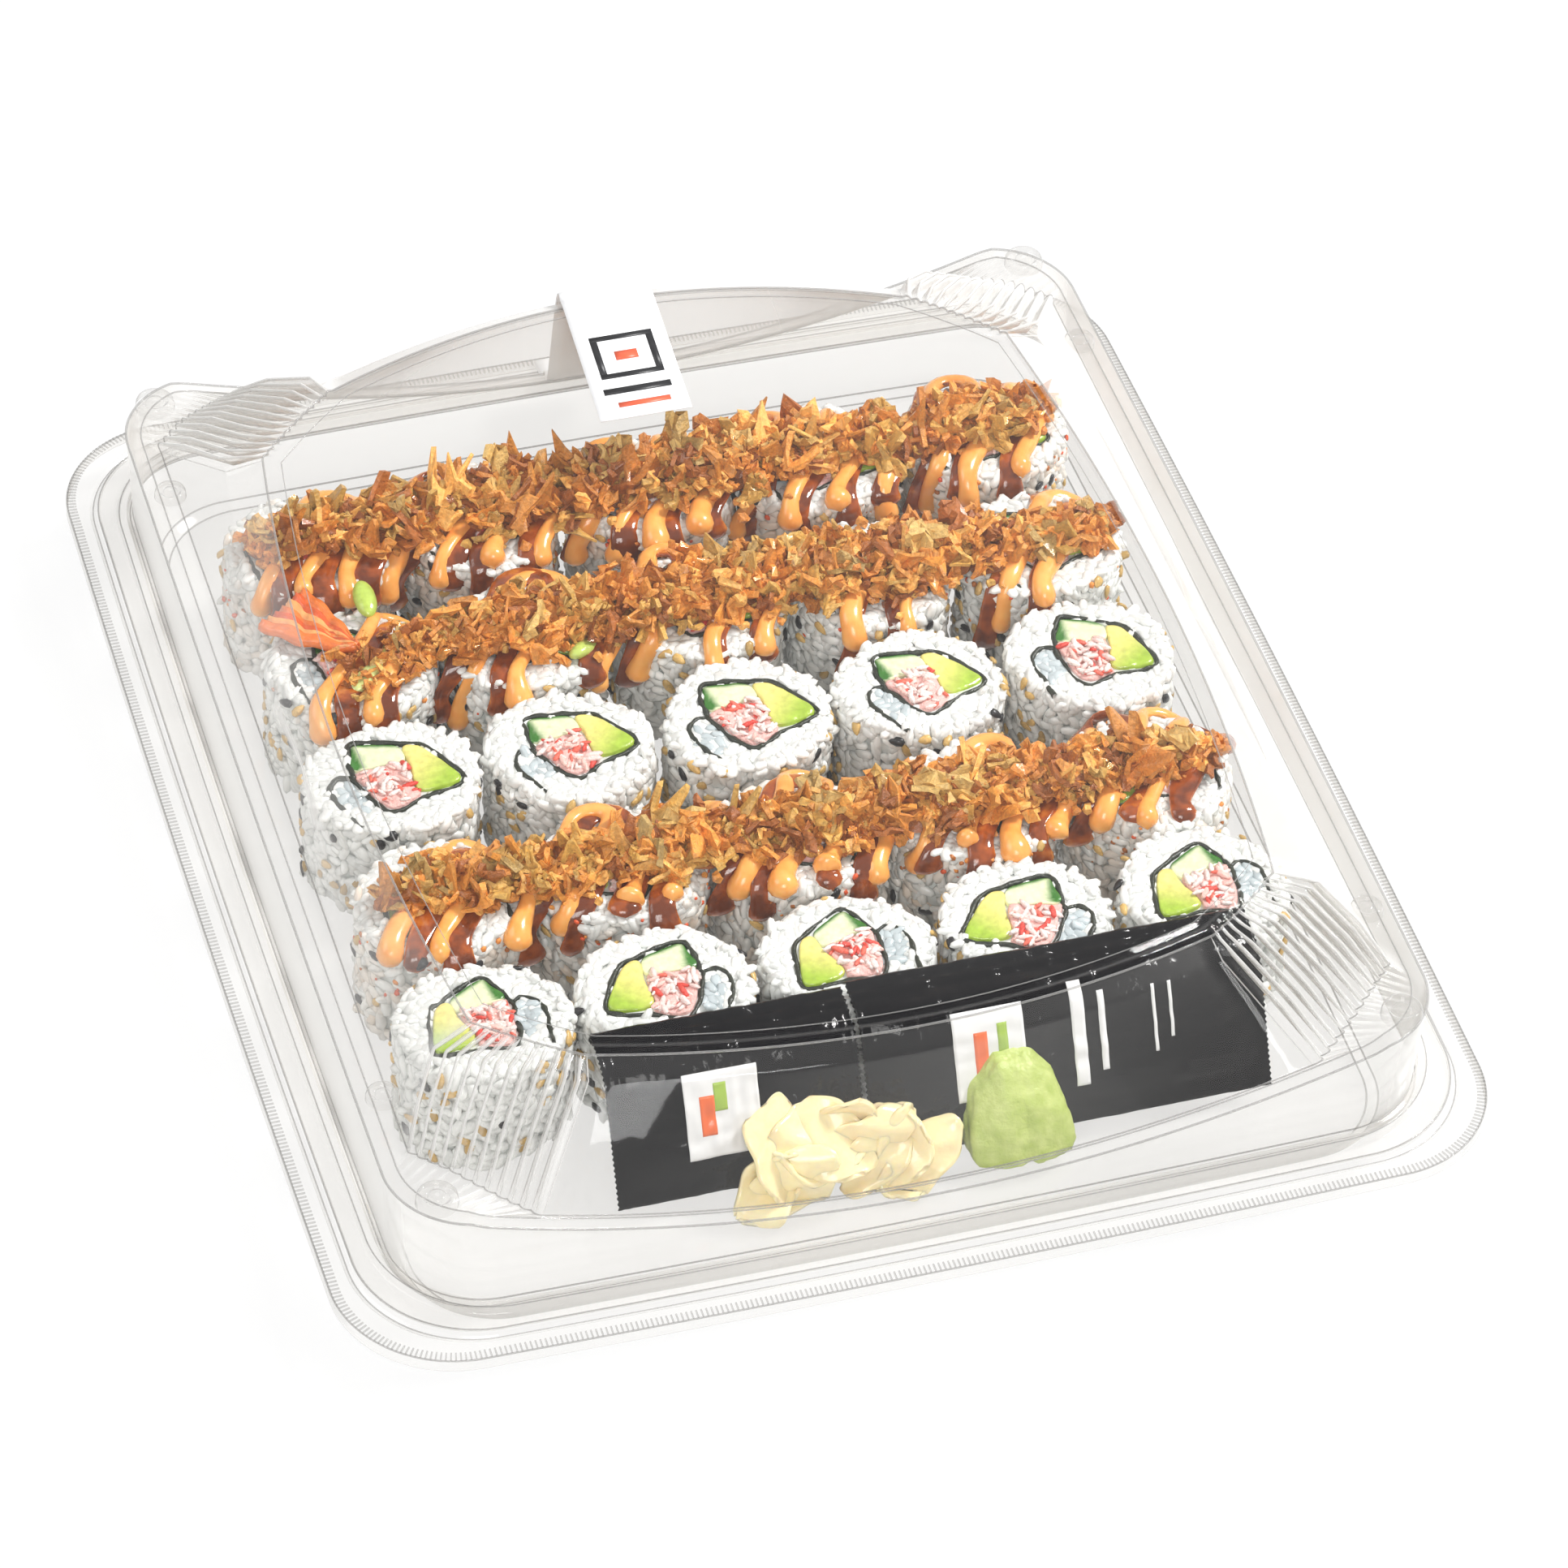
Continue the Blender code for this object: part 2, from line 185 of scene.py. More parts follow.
def clear_film(name, face_on, edge_on, gloss, haze, low_haze=0.0, shine_low=0.016,
               shine_power=3.4):
    """Thin clear plastic: clear face on, greyer, hazier and shinier at a glancing angle."""
    made = bpy.data.materials.new(name)
    made.use_nodes = True
    nodes, links = made.node_tree.nodes, made.node_tree.links
    nodes.remove(nodes["Principled BSDF"])
    facing = add_node(made, "ShaderNodeLayerWeight", Blend=0.5).outputs["Facing"]
    warm = np.array((1.0, 0.997, 0.992))
    tint = ramp_node(made, [(0.0, face_on * warm), (0.60, face_on * warm), (1.0, edge_on * warm)])
    links.new(facing, tint.inputs["Fac"])

    def rising(power, low, high):
        return map_range(made, math_node(made, "POWER", facing, power), To_Min=low, To_Max=high)

    through = add_node(made, "ShaderNodeBsdfTransparent")
    shine = add_node(made, "ShaderNodeBsdfGlossy", Roughness=gloss)
    cloud = add_node(made, "ShaderNodeBsdfDiffuse", Color=(0.96, 0.95, 0.93, 1.0))
    wave = add_node(made, "ShaderNodeBump", Strength=0.3, Distance=0.0006)
    links.new(noise_node(made, 60.0, 2.0).outputs["Fac"], wave.inputs["Height"])
    links.new(wave.outputs["Normal"], shine.inputs["Normal"])
    links.new(tint.outputs["Color"], through.inputs["Color"])
    glossy = mix_shaders(made, rising(shine_power, shine_low, 0.85), through.outputs["BSDF"],
                         shine.outputs["BSDF"])
    hazy = mix_shaders(made, rising(2.2, low_haze, haze), glossy, cloud.outputs["BSDF"])
    links.new(hazy, nodes["Material Output"].inputs["Surface"])
    return made


# ---------------------------------------------------------------- meshes

def ride_pack(made, nodes=()):
    """Link an object that rides on the pack, in place of CAD nodes where they are named."""
    bpy.context.scene.collection.objects.link(made)
    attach(made, "root")
    if nodes:
        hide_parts(*nodes)


def make_piece(name, verts, faces, made_material, slot, nodes=(), tones=None, smooth=True):
    """One object from arrays of vertices and equal-sided faces, riding on the pack."""
    verts = np.asarray(verts, dtype=np.float32)
    faces = np.asarray(faces, dtype=np.int32)
    mesh = bpy.data.meshes.new(name)
    mesh.vertices.add(len(verts))
    mesh.vertices.foreach_set("co", verts.ravel())
    sides = faces.shape[1]
    mesh.loops.add(faces.size)
    mesh.loops.foreach_set("vertex_index", faces.ravel())
    mesh.polygons.add(len(faces))
    mesh.polygons.foreach_set("loop_start", np.arange(0, faces.size, sides, dtype=np.int32))
    mesh.polygons.foreach_set("use_smooth", np.full(len(faces), smooth))
    mesh.update(calc_edges=True)
    if tones is not None:
        layer = mesh.color_attributes.new(name="tone", type="FLOAT_COLOR", domain="POINT")
        full = np.ones((len(verts), 4), dtype=np.float32)
        full[:, :3] = tones
        layer.data.foreach_set("color", full.ravel())
    mesh.materials.append(made_material)
    ride_pack(bpy.data.objects.new(name, mesh), nodes)


class Heap:
    """Gathers many small meshes of triangles or quads into one piece."""

    def __init__(self):
        self.verts, self.faces, self.tones, self.count = [], [], [], 0

    def add(self, verts, faces, tone_color=(1.0, 1.0, 1.0)):
        verts = np.asarray(verts, dtype=float)
        faces = np.asarray(faces, dtype=int)
        if faces.shape[1] == 3:
            faces = np.column_stack([faces, faces[:, 2]])
        self.verts.append(verts)
        self.faces.append(faces + self.count)
        self.tones.append(np.broadcast_to(np.asarray(tone_color, dtype=float), verts.shape))
        self.count += len(verts)

    def scatter(self, template, places, frames, tones):
        """Copies of a template; frames are (n, 3, 3) with the scaled axes as rows."""
        verts, faces = template
        count = len(places)
        moved = np.einsum("vk,nkj->nvj", verts, frames) + places[:, None, :]
        shifted = faces[None, :, :] + (np.arange(count) * len(verts))[:, None, None]
        self.add(moved.reshape(-1, 3), shifted.reshape(-1, faces.shape[1]),
                 np.repeat(tones, len(verts), axis=0))

    def finish(self, name, made_material, slot, nodes=(), smooth=True):
        faces = np.concatenate(self.faces)
        verts = np.concatenate(self.verts)
        tones = np.concatenate(self.tones)
        flat = faces[:, 3] == faces[:, 2]
        quads = faces[~flat]
        split = np.concatenate([quads[:, (0, 1, 2)], quads[:, (0, 2, 3)]])
        triangles = np.concatenate([faces[flat][:, :3], split])
        return make_piece(name, verts, triangles, made_material, slot, nodes, tones, smooth)


def ellipsoid(around, bands, taper=0.0):
    """Unit ellipsoid with its long axis on x, as triangles; taper thins one end."""
    verts = [(1.0, 0.0, 0.0)]
    for band in range(1, bands):
        angle = math.pi * band / bands
        x = math.cos(angle)
        radius = math.sin(angle) * (1.0 - taper * x)
        for step in range(around):
            turn = 2 * math.pi * step / around
            verts.append((x, radius * math.cos(turn), radius * math.sin(turn)))
    verts.append((-1.0, 0.0, 0.0))
    last = len(verts) - 1
    faces = []
    for step in range(around):
        after = (step + 1) % around
        faces.append((0, 1 + step, 1 + after))
        for band in range(bands - 2):
            a, b = 1 + band * around + step, 1 + band * around + after
            faces.append((a, a + around, b + around))
            faces.append((a, b + around, b))
        tail = 1 + (bands - 2) * around
        faces.append((last, tail + after, tail + step))
    return np.array(verts), np.array(faces)


def grid_faces(rows, columns, wrap=False):
    """Quads of a grid of rows x columns vertices."""
    faces = []
    for row in range(rows - 1):
        for column in range(columns if wrap else columns - 1):
            after = (column + 1) % columns
            faces.append((row * columns + column, row * columns + after,
                          (row + 1) * columns + after, (row + 1) * columns + column))
    return np.array(faces)


def unit(vectors):
    """Vectors scaled to length 1 along the last axis."""
    return vectors / np.maximum(np.linalg.norm(vectors, axis=-1, keepdims=True), 1e-12)


def join_grids(top, low):
    """A closed slab from two matching (rows, columns, 3) grids."""
    rows, columns = top.shape[:2]
    count = rows * columns
    quads = grid_faces(rows, columns)
    border = list(range(columns - 1))
    border += [r * columns + columns - 1 for r in range(rows - 1)]
    border += [(rows - 1) * columns + c for c in range(columns - 1, 0, -1)]
    border += [r * columns for r in range(rows - 1, 0, -1)]
    sides = [(a, b, b + count, a + count) for a, b in zip(border, border[1:] + border[:1])]
    verts = np.concatenate([top.reshape(-1, 3), low.reshape(-1, 3)])
    return verts, np.concatenate([quads[:, ::-1], quads + count, sides])


def closed_sheet(grid, thickness):
    """A closed slab from a (rows, columns, 3) grid, thickened to both sides."""
    normal = unit(np.cross(np.gradient(grid, axis=1), np.gradient(grid, axis=0)))
    half = np.broadcast_to(thickness, grid.shape[:2])[..., None] / 2
    return join_grids(grid + normal * half, grid - normal * half)


def capped(rings, bottom=True):
    """Rings of points joined by quads, with their last and first ends closed to a middle."""
    rings = np.asarray(rings)
    levels, around = rings.shape[:2]
    ends = [rings[0].mean(0), rings[-1].mean(0)][0 if bottom else 1:]
    verts = np.concatenate([rings.reshape(-1, 3), ends])
    step = np.arange(around)
    after = (step + 1) % around
    tail = (levels - 1) * around
    last = np.full(around, len(verts) - 1)
    faces = [grid_faces(levels, around, wrap=True),
             np.column_stack([last, tail + step, tail + after, tail + after])]
    if bottom:
        faces.append(np.column_stack([last - 1, after, step, step]))
    return verts, np.concatenate(faces)


def smooth_path(points, steps, closed=False):
    """Catmull-Rom curve through points of any dimension."""
    points = np.asarray(points, dtype=float)
    count = len(points)
    out = []
    for index in range(count if closed else count - 1):
        ids = [index - 1, index, index + 1, index + 2]
        if closed:
            a, b, c, d = (points[i % count] for i in ids)
        else:
            a, b, c, d = (points[min(max(i, 0), count - 1)] for i in ids)
        for step in range(steps):
            t = step / steps
            out.append(0.5 * (2 * b + (c - a) * t + (2 * a - 5 * b + 4 * c - d) * t * t
                              + (3 * b - a - 3 * c + d) * t ** 3))
    if not closed:
        out.append(points[-1])
    return np.array(out)


def strand(path, normals, half_width, height, sides=10):
    """A flattened, round-ended tube that lies on a surface with the given normals."""
    tangent = unit(np.gradient(path, axis=0))
    side = unit(np.cross(tangent, normals))
    up = np.cross(side, tangent)
    reach = np.linspace(0, 1, len(path))
    length = np.linalg.norm(np.diff(path, axis=0), axis=1).sum()
    cap = half_width.max() / max(length, 1e-6)
    near_end = np.minimum(reach, 1 - reach) / cap
    fade = np.sqrt(np.clip(1 - (1 - np.clip(near_end, 0, 1)) ** 2, 0.0009, 1))
    angle = np.linspace(0, 2 * np.pi, sides, endpoint=False)
    wide = (np.cos(angle)[None, :] * (half_width * fade)[:, None])[..., None]
    tall = (np.sin(angle)[None, :] * (height * fade)[:, None])[..., None]
    return capped(path[:, None, :] + wide * side[:, None, :] + tall * up[:, None, :])


def wobble(x, y, z, scale, seed=0.0):
    """Smooth noise from -1 to 1 at a point in metres."""
    return noise.noise(Vector((x * scale + seed, y * scale - seed, z * scale)))


def wobbles(xs, y, z, scale):
    """The same noise at each of several x."""
    return np.array([wobble(x, y, z, scale) for x in np.atleast_1d(xs)])


def middle_of(node):
    """The centre of a CAD node's box, at its foot, with the box's two corners."""
    low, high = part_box(node)
    return np.array([(low[0] + high[0]) / 2, (low[1] + high[1]) / 2, low[2]]), low, high


# ---------------------------------------------------------------- clear pack

def turn_xy(x, y, angle):
    return x * math.cos(angle) - y * math.sin(angle), x * math.sin(angle) + y * math.cos(angle)


def outline(half_x, half_y, cut_x, cut_y, bow_x, bow_y, roundness):
    """Anticlockwise points of a bowed rectangle with rounded (1) or chamfered (0) corners."""
    points = []
    straight = (half_y - cut_y, half_x - cut_x)
    for quarter in range(4):
        odd = quarter % 2
        along, reach, bow = straight[odd], (half_x, half_y)[odd], (bow_x, bow_y)[odd]
        spin = quarter * math.pi / 2
        for step in range(SIDE_STEPS):
            t = -1.0 + 2.0 * step / SIDE_STEPS
            points.append(turn_xy(reach + bow * (1 - t * t), along * t, spin))
        cut_out, cut_along = ((cut_x, cut_y), (cut_y, cut_x))[odd]
        for step in range(CORNER_STEPS):
            u = step / CORNER_STEPS
            angle = u * math.pi / 2
            arc = (reach - cut_out * (1 - math.cos(angle)), along + cut_along * math.sin(angle))
            line = (reach - cut_out * u, along + cut_along * u)
            x = arc[0] * roundness + line[0] * (1 - roundness)
            y = arc[1] * roundness + line[1] * (1 - roundness)
            points.append(turn_xy(x, y, spin))
    return np.array(points)


def at_height(points, z):
    return np.column_stack([points, np.broadcast_to(z, len(points))])


def rim_ring(inset, z, corner=RIM_CORNER):
    points = outline(RIM_X - inset, RIM_Y - inset, corner, corner, 1 * MM, 1 * MM, 1.0)
    return at_height(points, z)


def lip_drop(points):
    """Depth of the dip in the lid's lip along the front and back walls."""
    x, y = points[:, 0], points[:, 1]
    inside = (np.abs(x) < LIP_DIP_HALF) & (np.abs(y) > RIM_Y * 0.6)
    return np.where(inside, LIP_DIP * (1 - (x / LIP_DIP_HALF) ** 2), 0.0)


def fluted(ring, depth):
    """Fold the corners into round-topped flutes with sharp valleys."""
    index = np.arange(len(ring)) % QUARTER_STEPS
    u = np.clip((index - SIDE_STEPS) / CORNER_STEPS, 0, 1)
    push = depth * np.abs(np.sin(np.pi * FLUTES * u)) ** 0.8
    reach = np.linalg.norm(ring[:, :2], axis=1)
    out = ring.copy()
    out[:, :2] *= (1 + push / reach)[:, None]
    out[:, 2] += push * 0.8
    return out


def crown(points, height):
    return at_height(points, PANEL_Z + height + CROWN * (1 - (points[:, 0] / CROWN_HALF) ** 2))


def rounded(rings, soft):
    """Each bend between rings rounded off within a distance, with the first and last kept."""
    rings = [np.asarray(ring) for ring in rings]
    dense = [rings[0]]
    for a, b in zip(rings, rings[1:]):
        length = np.maximum(np.linalg.norm(b - a, axis=1), 1e-9)
        near = np.clip(soft / length, 0.0, 0.34)[:, None]
        dense += [a * (1 - near) + b * near, b * (1 - near) + a * near, b]
    out = [dense[0]]
    for a, b in zip(dense, dense[1:]):
        out += [a * 0.75 + b * 0.25, a * 0.25 + b * 0.75]
    return out + [dense[-1]]


def side_dent(ring, depth):
    """A diamond-shaped dent at the middle of both long side walls."""
    out = ring.copy()
    on_side = np.abs(ring[:, 0]) > 90 * MM
    fall = np.clip(1 - np.abs(ring[:, 1]) / (26 * MM), 0, 1)
    out[:, 0] -= np.where(on_side, np.sign(ring[:, 0]) * depth * fall, 0)
    return out


def shell_piece(name, rings, walls, middle_film, node, wall, clear_from):
    """A thin shell through rings, closed level by level; the rings from clear_from are clearer."""
    count = len(rings[0])
    verts = np.concatenate(rings)
    faces = [tuple(face) for face in grid_faces(len(rings), count, wrap=True)]
    start = (len(rings) - 1) * count
    middle = SIDE_STEPS // 2
    cells = 24
    last = rings[-1]
    extra, rows = [], []
    for index in range(count // 2 + 1):
        near = start + (middle + index) % count
        far = start + (middle - index) % count
        if near == far:
            rows.append([near] * (cells + 1))
            continue
        row = [near]
        for cell in range(1, cells):
            t = cell / cells
            row.append(len(verts) + len(extra))
            extra.append(last[near - start] * (1 - t) + last[far - start] * t)
        rows.append(row + [far])
    for low, high in zip(rows, rows[1:]):
        for cell in range(cells):
            faces.append((low[cell], high[cell], high[cell + 1], low[cell + 1]))
    verts = np.concatenate([verts, np.array(extra)])
    mesh = bpy.data.meshes.new(name)
    clean = [tuple(dict.fromkeys(face)) for face in faces]
    mesh.from_pydata([tuple(v) for v in verts], [], [f for f in clean if len(f) > 2])
    for face in mesh.polygons:
        face.use_smooth = True
    mesh.materials.append(walls)
    mesh.materials.append(middle_film)
    for index, face in enumerate(mesh.polygons):
        face.material_index = int(index >= clear_from * count)
    made = bpy.data.objects.new(name, mesh)
    if max(mesh.polygons, key=lambda f: f.center.z - f.center.xy.length).normal.z < 0:
        mesh.flip_normals()
    solid = made.modifiers.new("wall", "SOLIDIFY")
    solid.thickness = wall
    solid.offset = -1.0
    solid.use_even_offset = False
    ride_pack(made, [node])


def lid_rings():
    """Flange, bead, lower wall, lip, shelf, fluted dome wall, shoulder and top panel."""
    lip = outline(112 * MM, 134.1 * MM, 19 * MM, 19 * MM, 0.5 * MM, 0.5 * MM, 1.0)
    lip_in = outline(108.8 * MM, 131.2 * MM, 17 * MM, 17 * MM, 0.5 * MM, 0.5 * MM, 1.0)
    foot = outline(105.5 * MM, 130.6 * MM, 23 * MM, 20 * MM, 0.0, 0.5 * MM, 0.15)
    shoulder = outline(95 * MM, 111.5 * MM, 27 * MM, 20 * MM, 6 * MM, 11.5 * MM, 0.1)
    panel = outline(87 * MM, 106.5 * MM, 20 * MM, 17 * MM, 6.5 * MM, 12 * MM, 0.1)
    foot_ring = at_height(foot, SHELF_Z + 0.4 * MM - lip_drop(foot))
    shoulder_ring = crown(shoulder, -3.2 * MM)
    wall_ring = side_dent(foot_ring * 0.5 + shoulder_ring * 0.5, 3.0 * MM)
    inner = panel * np.array([0.96, 0.965])
    return [
        rim_ring(6.2 * MM, SEAT_Z - 0.4 * MM),
        rim_ring(6.2 * MM, SEAT_Z + 0.2 * MM),
        rim_ring(9.6 * MM, SEAT_Z),
        rim_ring(10.2 * MM, SEAT_Z + 1.6 * MM),
        rim_ring(12.0 * MM, SEAT_Z + 1.6 * MM),
        rim_ring(12.8 * MM, SEAT_Z, INNER_CORNER),
        rim_ring(13.8 * MM, SEAT_Z + 0.4 * MM, INNER_CORNER),
        at_height(lip, SHELF_Z - 1.2 * MM - lip_drop(lip)),
        at_height(lip, SHELF_Z - lip_drop(lip)),
        at_height(lip_in, SHELF_Z + 0.3 * MM - lip_drop(lip_in)),
        fluted(foot_ring, 1.3 * MM),
        fluted(wall_ring, 3.0 * MM),
        fluted(shoulder_ring, 2.4 * MM),
        fluted(crown(panel, -0.9 * MM), 0.4 * MM),
        crown(panel * np.array([0.985, 0.986]), -0.1 * MM),
        crown(panel * np.array([0.975, 0.977]), -0.5 * MM),
        crown(inner, 0.0),
    ]


def crease(heap, ring, radius):
    """A fine bead along a closed ring, in a film darker than the shell: a painted shade line that
    draws the bend.
    """
    tangent = unit(np.roll(ring, -1, axis=0) - np.roll(ring, 1, axis=0))
    side = np.cross(tangent, UP)
    up = np.cross(side, tangent)
    angle = np.linspace(0, 2 * np.pi, 6, endpoint=False)
    tube = (ring[None] + radius * (np.cos(angle)[:, None, None] * side[None]
                                   + np.sin(angle)[:, None, None] * up[None]))
    verts = np.vstack([tube.reshape(-1, 3), tube[0]])
    heap.add(verts, grid_faces(7, len(ring), wrap=True))


def build_lid():
    """The dome lid with its corner flutes and stacking lugs, painted shade lines along its bends
    and painted highlight strands down its flutes.
    """
    clear = clear_film("lid_film", 0.992, 0.60, 0.04, 0.08, 0.0, 0.009, 4.6)
    wall = clear_film("lid_wall_film", 0.978, 0.60, 0.07, 0.75, 0.010)
    # Painted shade: the bend beads take this darker film, so that each bend shows as a dark line.
    line = clear_film("lid_bend_shade_film", 0.70, 0.45, 0.08, 0.35, 0.12)
    # Painted highlight: the flute strands take this hazy white film, so that the flutes show
    # bright ridge lines and thin valley lines.
    ridge = clear_film("lid_flute_highlight_film", 0.80, 0.60, 0.10, 0.75, 0.30)
    corners = lid_rings()
    foot_rank, panel_rank = len(corners) - 7, len(corners) - 4
    shell_piece("lid_dome", rounded(corners, BEND), wall, clear, "lid", 0.35 * MM,
                1 + BEND_LEVELS * panel_rank)
    lines = Heap()
    # darker beads along the panel edge, the lip, the foot and the flange: painted shade lines at
    # the bends
    for rank, radius in ((panel_rank, 0.26), (-1, 0.12), (8, 0.30), (9, 0.20), (foot_rank, 0.20),
                         (3, 0.16), (6, 0.20), (1, 0.20)):
        crease(lines, corners[rank], radius * MM)
    lines.finish("lid_bend_shade_lines", line, "clear_lid")
    lines = Heap()
    half_flute = CORNER_STEPS // FLUTES // 2
    for quarter in range(4):
        for flute in range(2 * FLUTES + 1):
            rank = quarter * QUARTER_STEPS + SIDE_STEPS + flute * half_flute
            stops = np.array([ring[rank % (4 * QUARTER_STEPS)]
                              for ring in corners[foot_rank:panel_rank + 1]])
            path = np.vstack([a + (b - a) * t for a, b in zip(stops, stops[1:])
                              for t in (0, 0.25, 0.5, 0.75)] + [stops[-1]])
            outwards = unit(np.array([path[0][0], path[0][1], 90 * MM]))
            # thick strands on the flute ridges, thin ones in the valleys: painted highlight and
            # shade lines
            wide = np.full(len(path), (0.14, 0.34)[flute % 2] * MM)
            lines.add(*strand(path, np.tile(outwards, (len(path), 1)), wide, wide, 5))
    lines.finish("lid_flute_highlight_lines", ridge, "clear_lid")
    lugs = Heap()
    profile = smooth_path([(1.0, 0.0), (0.94, 0.42), (0.78, 0.56), (0.60, 0.40),
                           (0.46, 0.30), (0.36, 0.50), (0.0, 0.50)], 3)[:-1]
    around = np.linspace(0, 2 * np.pi, LUG_SIDES, endpoint=False)
    for x, y, radius, rise in ((103.3, 126.0, 4.5, 0.35), (106.8, 95.5, 3.6, 0.5)):
        for side_x in (-1, 1):
            for side_y in (-1, 1):
                rings = [at_height(np.column_stack([side_x * x + radius * share * np.cos(around),
                                                    side_y * y + radius * share * np.sin(around)])
                                   * MM, SHELF_Z + (rise + radius * height) * MM)
                         for share, height in profile]
                lugs.add(np.concatenate(rings), grid_faces(len(rings), LUG_SIDES, wrap=True))
    lugs.finish("lid_lugs", clear_film("lug_film", 0.93, 0.25, 0.06, 0.35, 0.02), "clear_lid")


def build_base():
    """The base tray with the fine ribs round its rim, and painted shade lines along its rim edge
    and bends.
    """
    wall_film = clear_film("base_wall_film", 0.975, 0.60, 0.07, 0.55, 0.03)
    film = clear_film("base_film", 0.965, 0.55, 0.06, 0.30, 0.02)
    rings = [
        rim_ring(0.0, RIM_Z - 3.0 * MM),
        rim_ring(0.0, RIM_Z - 0.2 * MM),
        rim_ring(1.4 * MM, RIM_Z),
        rim_ring(4.6 * MM, RIM_Z),
        rim_ring(5.2 * MM, RIM_Z - 0.6 * MM),
        rim_ring(5.8 * MM, RIM_Z),
        rim_ring(13.2 * MM, RIM_Z, INNER_CORNER),
        rim_ring(14.2 * MM, RIM_Z - 1.2 * MM, INNER_CORNER),
        rim_ring(18.5 * MM, 2.4 * MM, INNER_CORNER),
        rim_ring(20.3 * MM, 0.8 * MM, INNER_CORNER),
        rim_ring(24.0 * MM, 0.8 * MM, INNER_CORNER),
    ]
    floor_rank = len(rings) - 2
    shell_piece("base_shell", rounded(rings, BEND), wall_film, film,
                "base_tray", 0.4 * MM, 1 + BEND_LEVELS * floor_rank)
    # Darker beads along the rim's edge and the bends: painted shade lines.
    lines = Heap()
    edge_line = rim_ring(0.25 * MM, RIM_Z - 0.25 * MM)
    for ring, radius in ((edge_line, 0.22), (rings[4], 0.16), (rings[6], 0.20), (rings[8], 0.22),
                         (rings[9], 0.22)):
        crease(lines, ring, radius * MM)
    lines.finish("base_bend_shade_lines", clear_film("base_bend_shade_film", 0.72, 0.45, 0.08, 0.30, 0.10),
                 "clear_base")
    add_rim_ribs()


def add_rim_ribs():
    """Fine ribs across the rim's outer edge, evenly spaced all the way round."""
    spacing, inset, half_size = 1.05 * MM, 1.25 * MM, (0.16, 1.0, 0.14)
    edge = rim_ring(0.0, 0.0)
    closed = np.vstack([edge, edge[:1]])
    travelled = np.cumsum(np.linalg.norm(np.diff(closed, axis=0), axis=1))
    travelled = np.concatenate([[0], travelled])
    count = int(travelled[-1] / spacing)
    where = np.linspace(0, travelled[-1], count, endpoint=False)
    spots = np.column_stack([np.interp(where, travelled, closed[:, axis]) for axis in (0, 1)])
    ahead = unit(np.roll(spots, -1, axis=0) - np.roll(spots, 1, axis=0))
    outwards = np.column_stack([ahead[:, 1], -ahead[:, 0]])
    frames = np.zeros((count, 3, 3))
    frames[:, 0, :2] = ahead * half_size[0] * MM
    frames[:, 1, :2] = outwards * half_size[1] * MM
    frames[:, 2, 2] = half_size[2] * MM
    box = np.array([(a, b, c) for a in (-1, 1) for b in (-1, 1) for c in (-1, 1)], dtype=float)
    box_faces = np.array([(0, 1, 3, 2), (4, 6, 7, 5), (0, 4, 5, 1), (2, 3, 7, 6),
                          (0, 2, 6, 4), (1, 5, 7, 3)])
    ribs = Heap()
    ribs.scatter((box, box_faces), at_height(spots - outwards * inset, RIM_Z + 0.02 * MM), frames,
                 np.ones((count, 3)))
    ribs.finish("rim_ribs", clear_film("rib_film", 0.84, 0.45, 0.10, 0.2), "clear_base",
                smooth=False)


# ---------------------------------------------------------------- rolls

# One face's filling, in millimetres from the piece's centre
CUCUMBER = [(-7.4, 4.9), (-6.0, 9.6), (-4.6, 12.2), (0.6, 10.6), (4.3, 8.4), (4.0, 3.9),
            (-1.5, 4.0)]
AVOCADO = [(4.9, 7.9), (8.2, 7.2), (11.4, 1.0), (13.4, -5.6), (8.7, -7.0), (3.6, -5.6), (4.6, 2.0)]
CRAB = [(-7.4, 4.0), (-1.8, 3.6), (3.8, 3.4), (3.2, -4.6), (3.4, -7.8), (-2.8, -9.6), (-5.6, -5.6),
        (-6.6, -0.5)]
RICE_LOBE = [(-12.3, 1.6), (-9.6, 2.6), (-8.2, 0.8), (-7.6, -2.6), (-6.8, -6.4), (-9.5, -8.2),
             (-12.2, -5.2), (-13.2, -1.6)]
NORI_RING = [(-8.0, 3.4), (-7.0, 9.0), (-4.8, 13.2), (1.0, 11.5), (6.0, 9.2), (9.4, 7.3),
             (12.3, 0.6), (14.1, -5.8), (11.0, -7.9), (4.1, -8.6), (-0.5, -10.4), (-3.6, -10.6),
             (-6.1, -6.6), (-7.3, -2.0), (-8.3, 2.0)]
NORI_CURL = [(-8.6, 2.9), (-11.0, 3.6), (-13.4, 1.4), (-14.0, -2.0), (-13.2, -6.0), (-12.2, -10.0),
             (-11.4, -13.2)]


def face_frame(row, column):
    """How one piece's filling lies: mirror, turn, size and the tilt of its cut face."""
    source = np.random.default_rng(1000 + 10 * row + column)
    mirror = -1.0 if row in (4, 5) else 1.0
    spin = math.radians(source.uniform(-16, 16))
    size = source.uniform(0.93, 1.02)
    tilt = source.uniform(-0.028, 0.028, 2)
    return mirror, spin, size, tilt, source


def roll_centre(row, column):
    return middle_of(f"roll_{row}_{column}")[0][:2]


def place_on_face(points, row, column, lift):
    """Local millimetres to the world, on the piece's cut face."""
    mirror, spin, size, tilt, _ = face_frame(row, column)
    points = np.asarray(points, dtype=float) * size
    x, y = turn_xy(points[:, 0] * mirror, points[:, 1], spin)
    y = y * 0.94
    centre = roll_centre(row, column)
    z = ROLL_TOP - 0.7 * MM + (x * tilt[0] + y * tilt[1]) * MM + lift
    return np.column_stack([centre[0] + x * MM, centre[1] + y * MM, z])


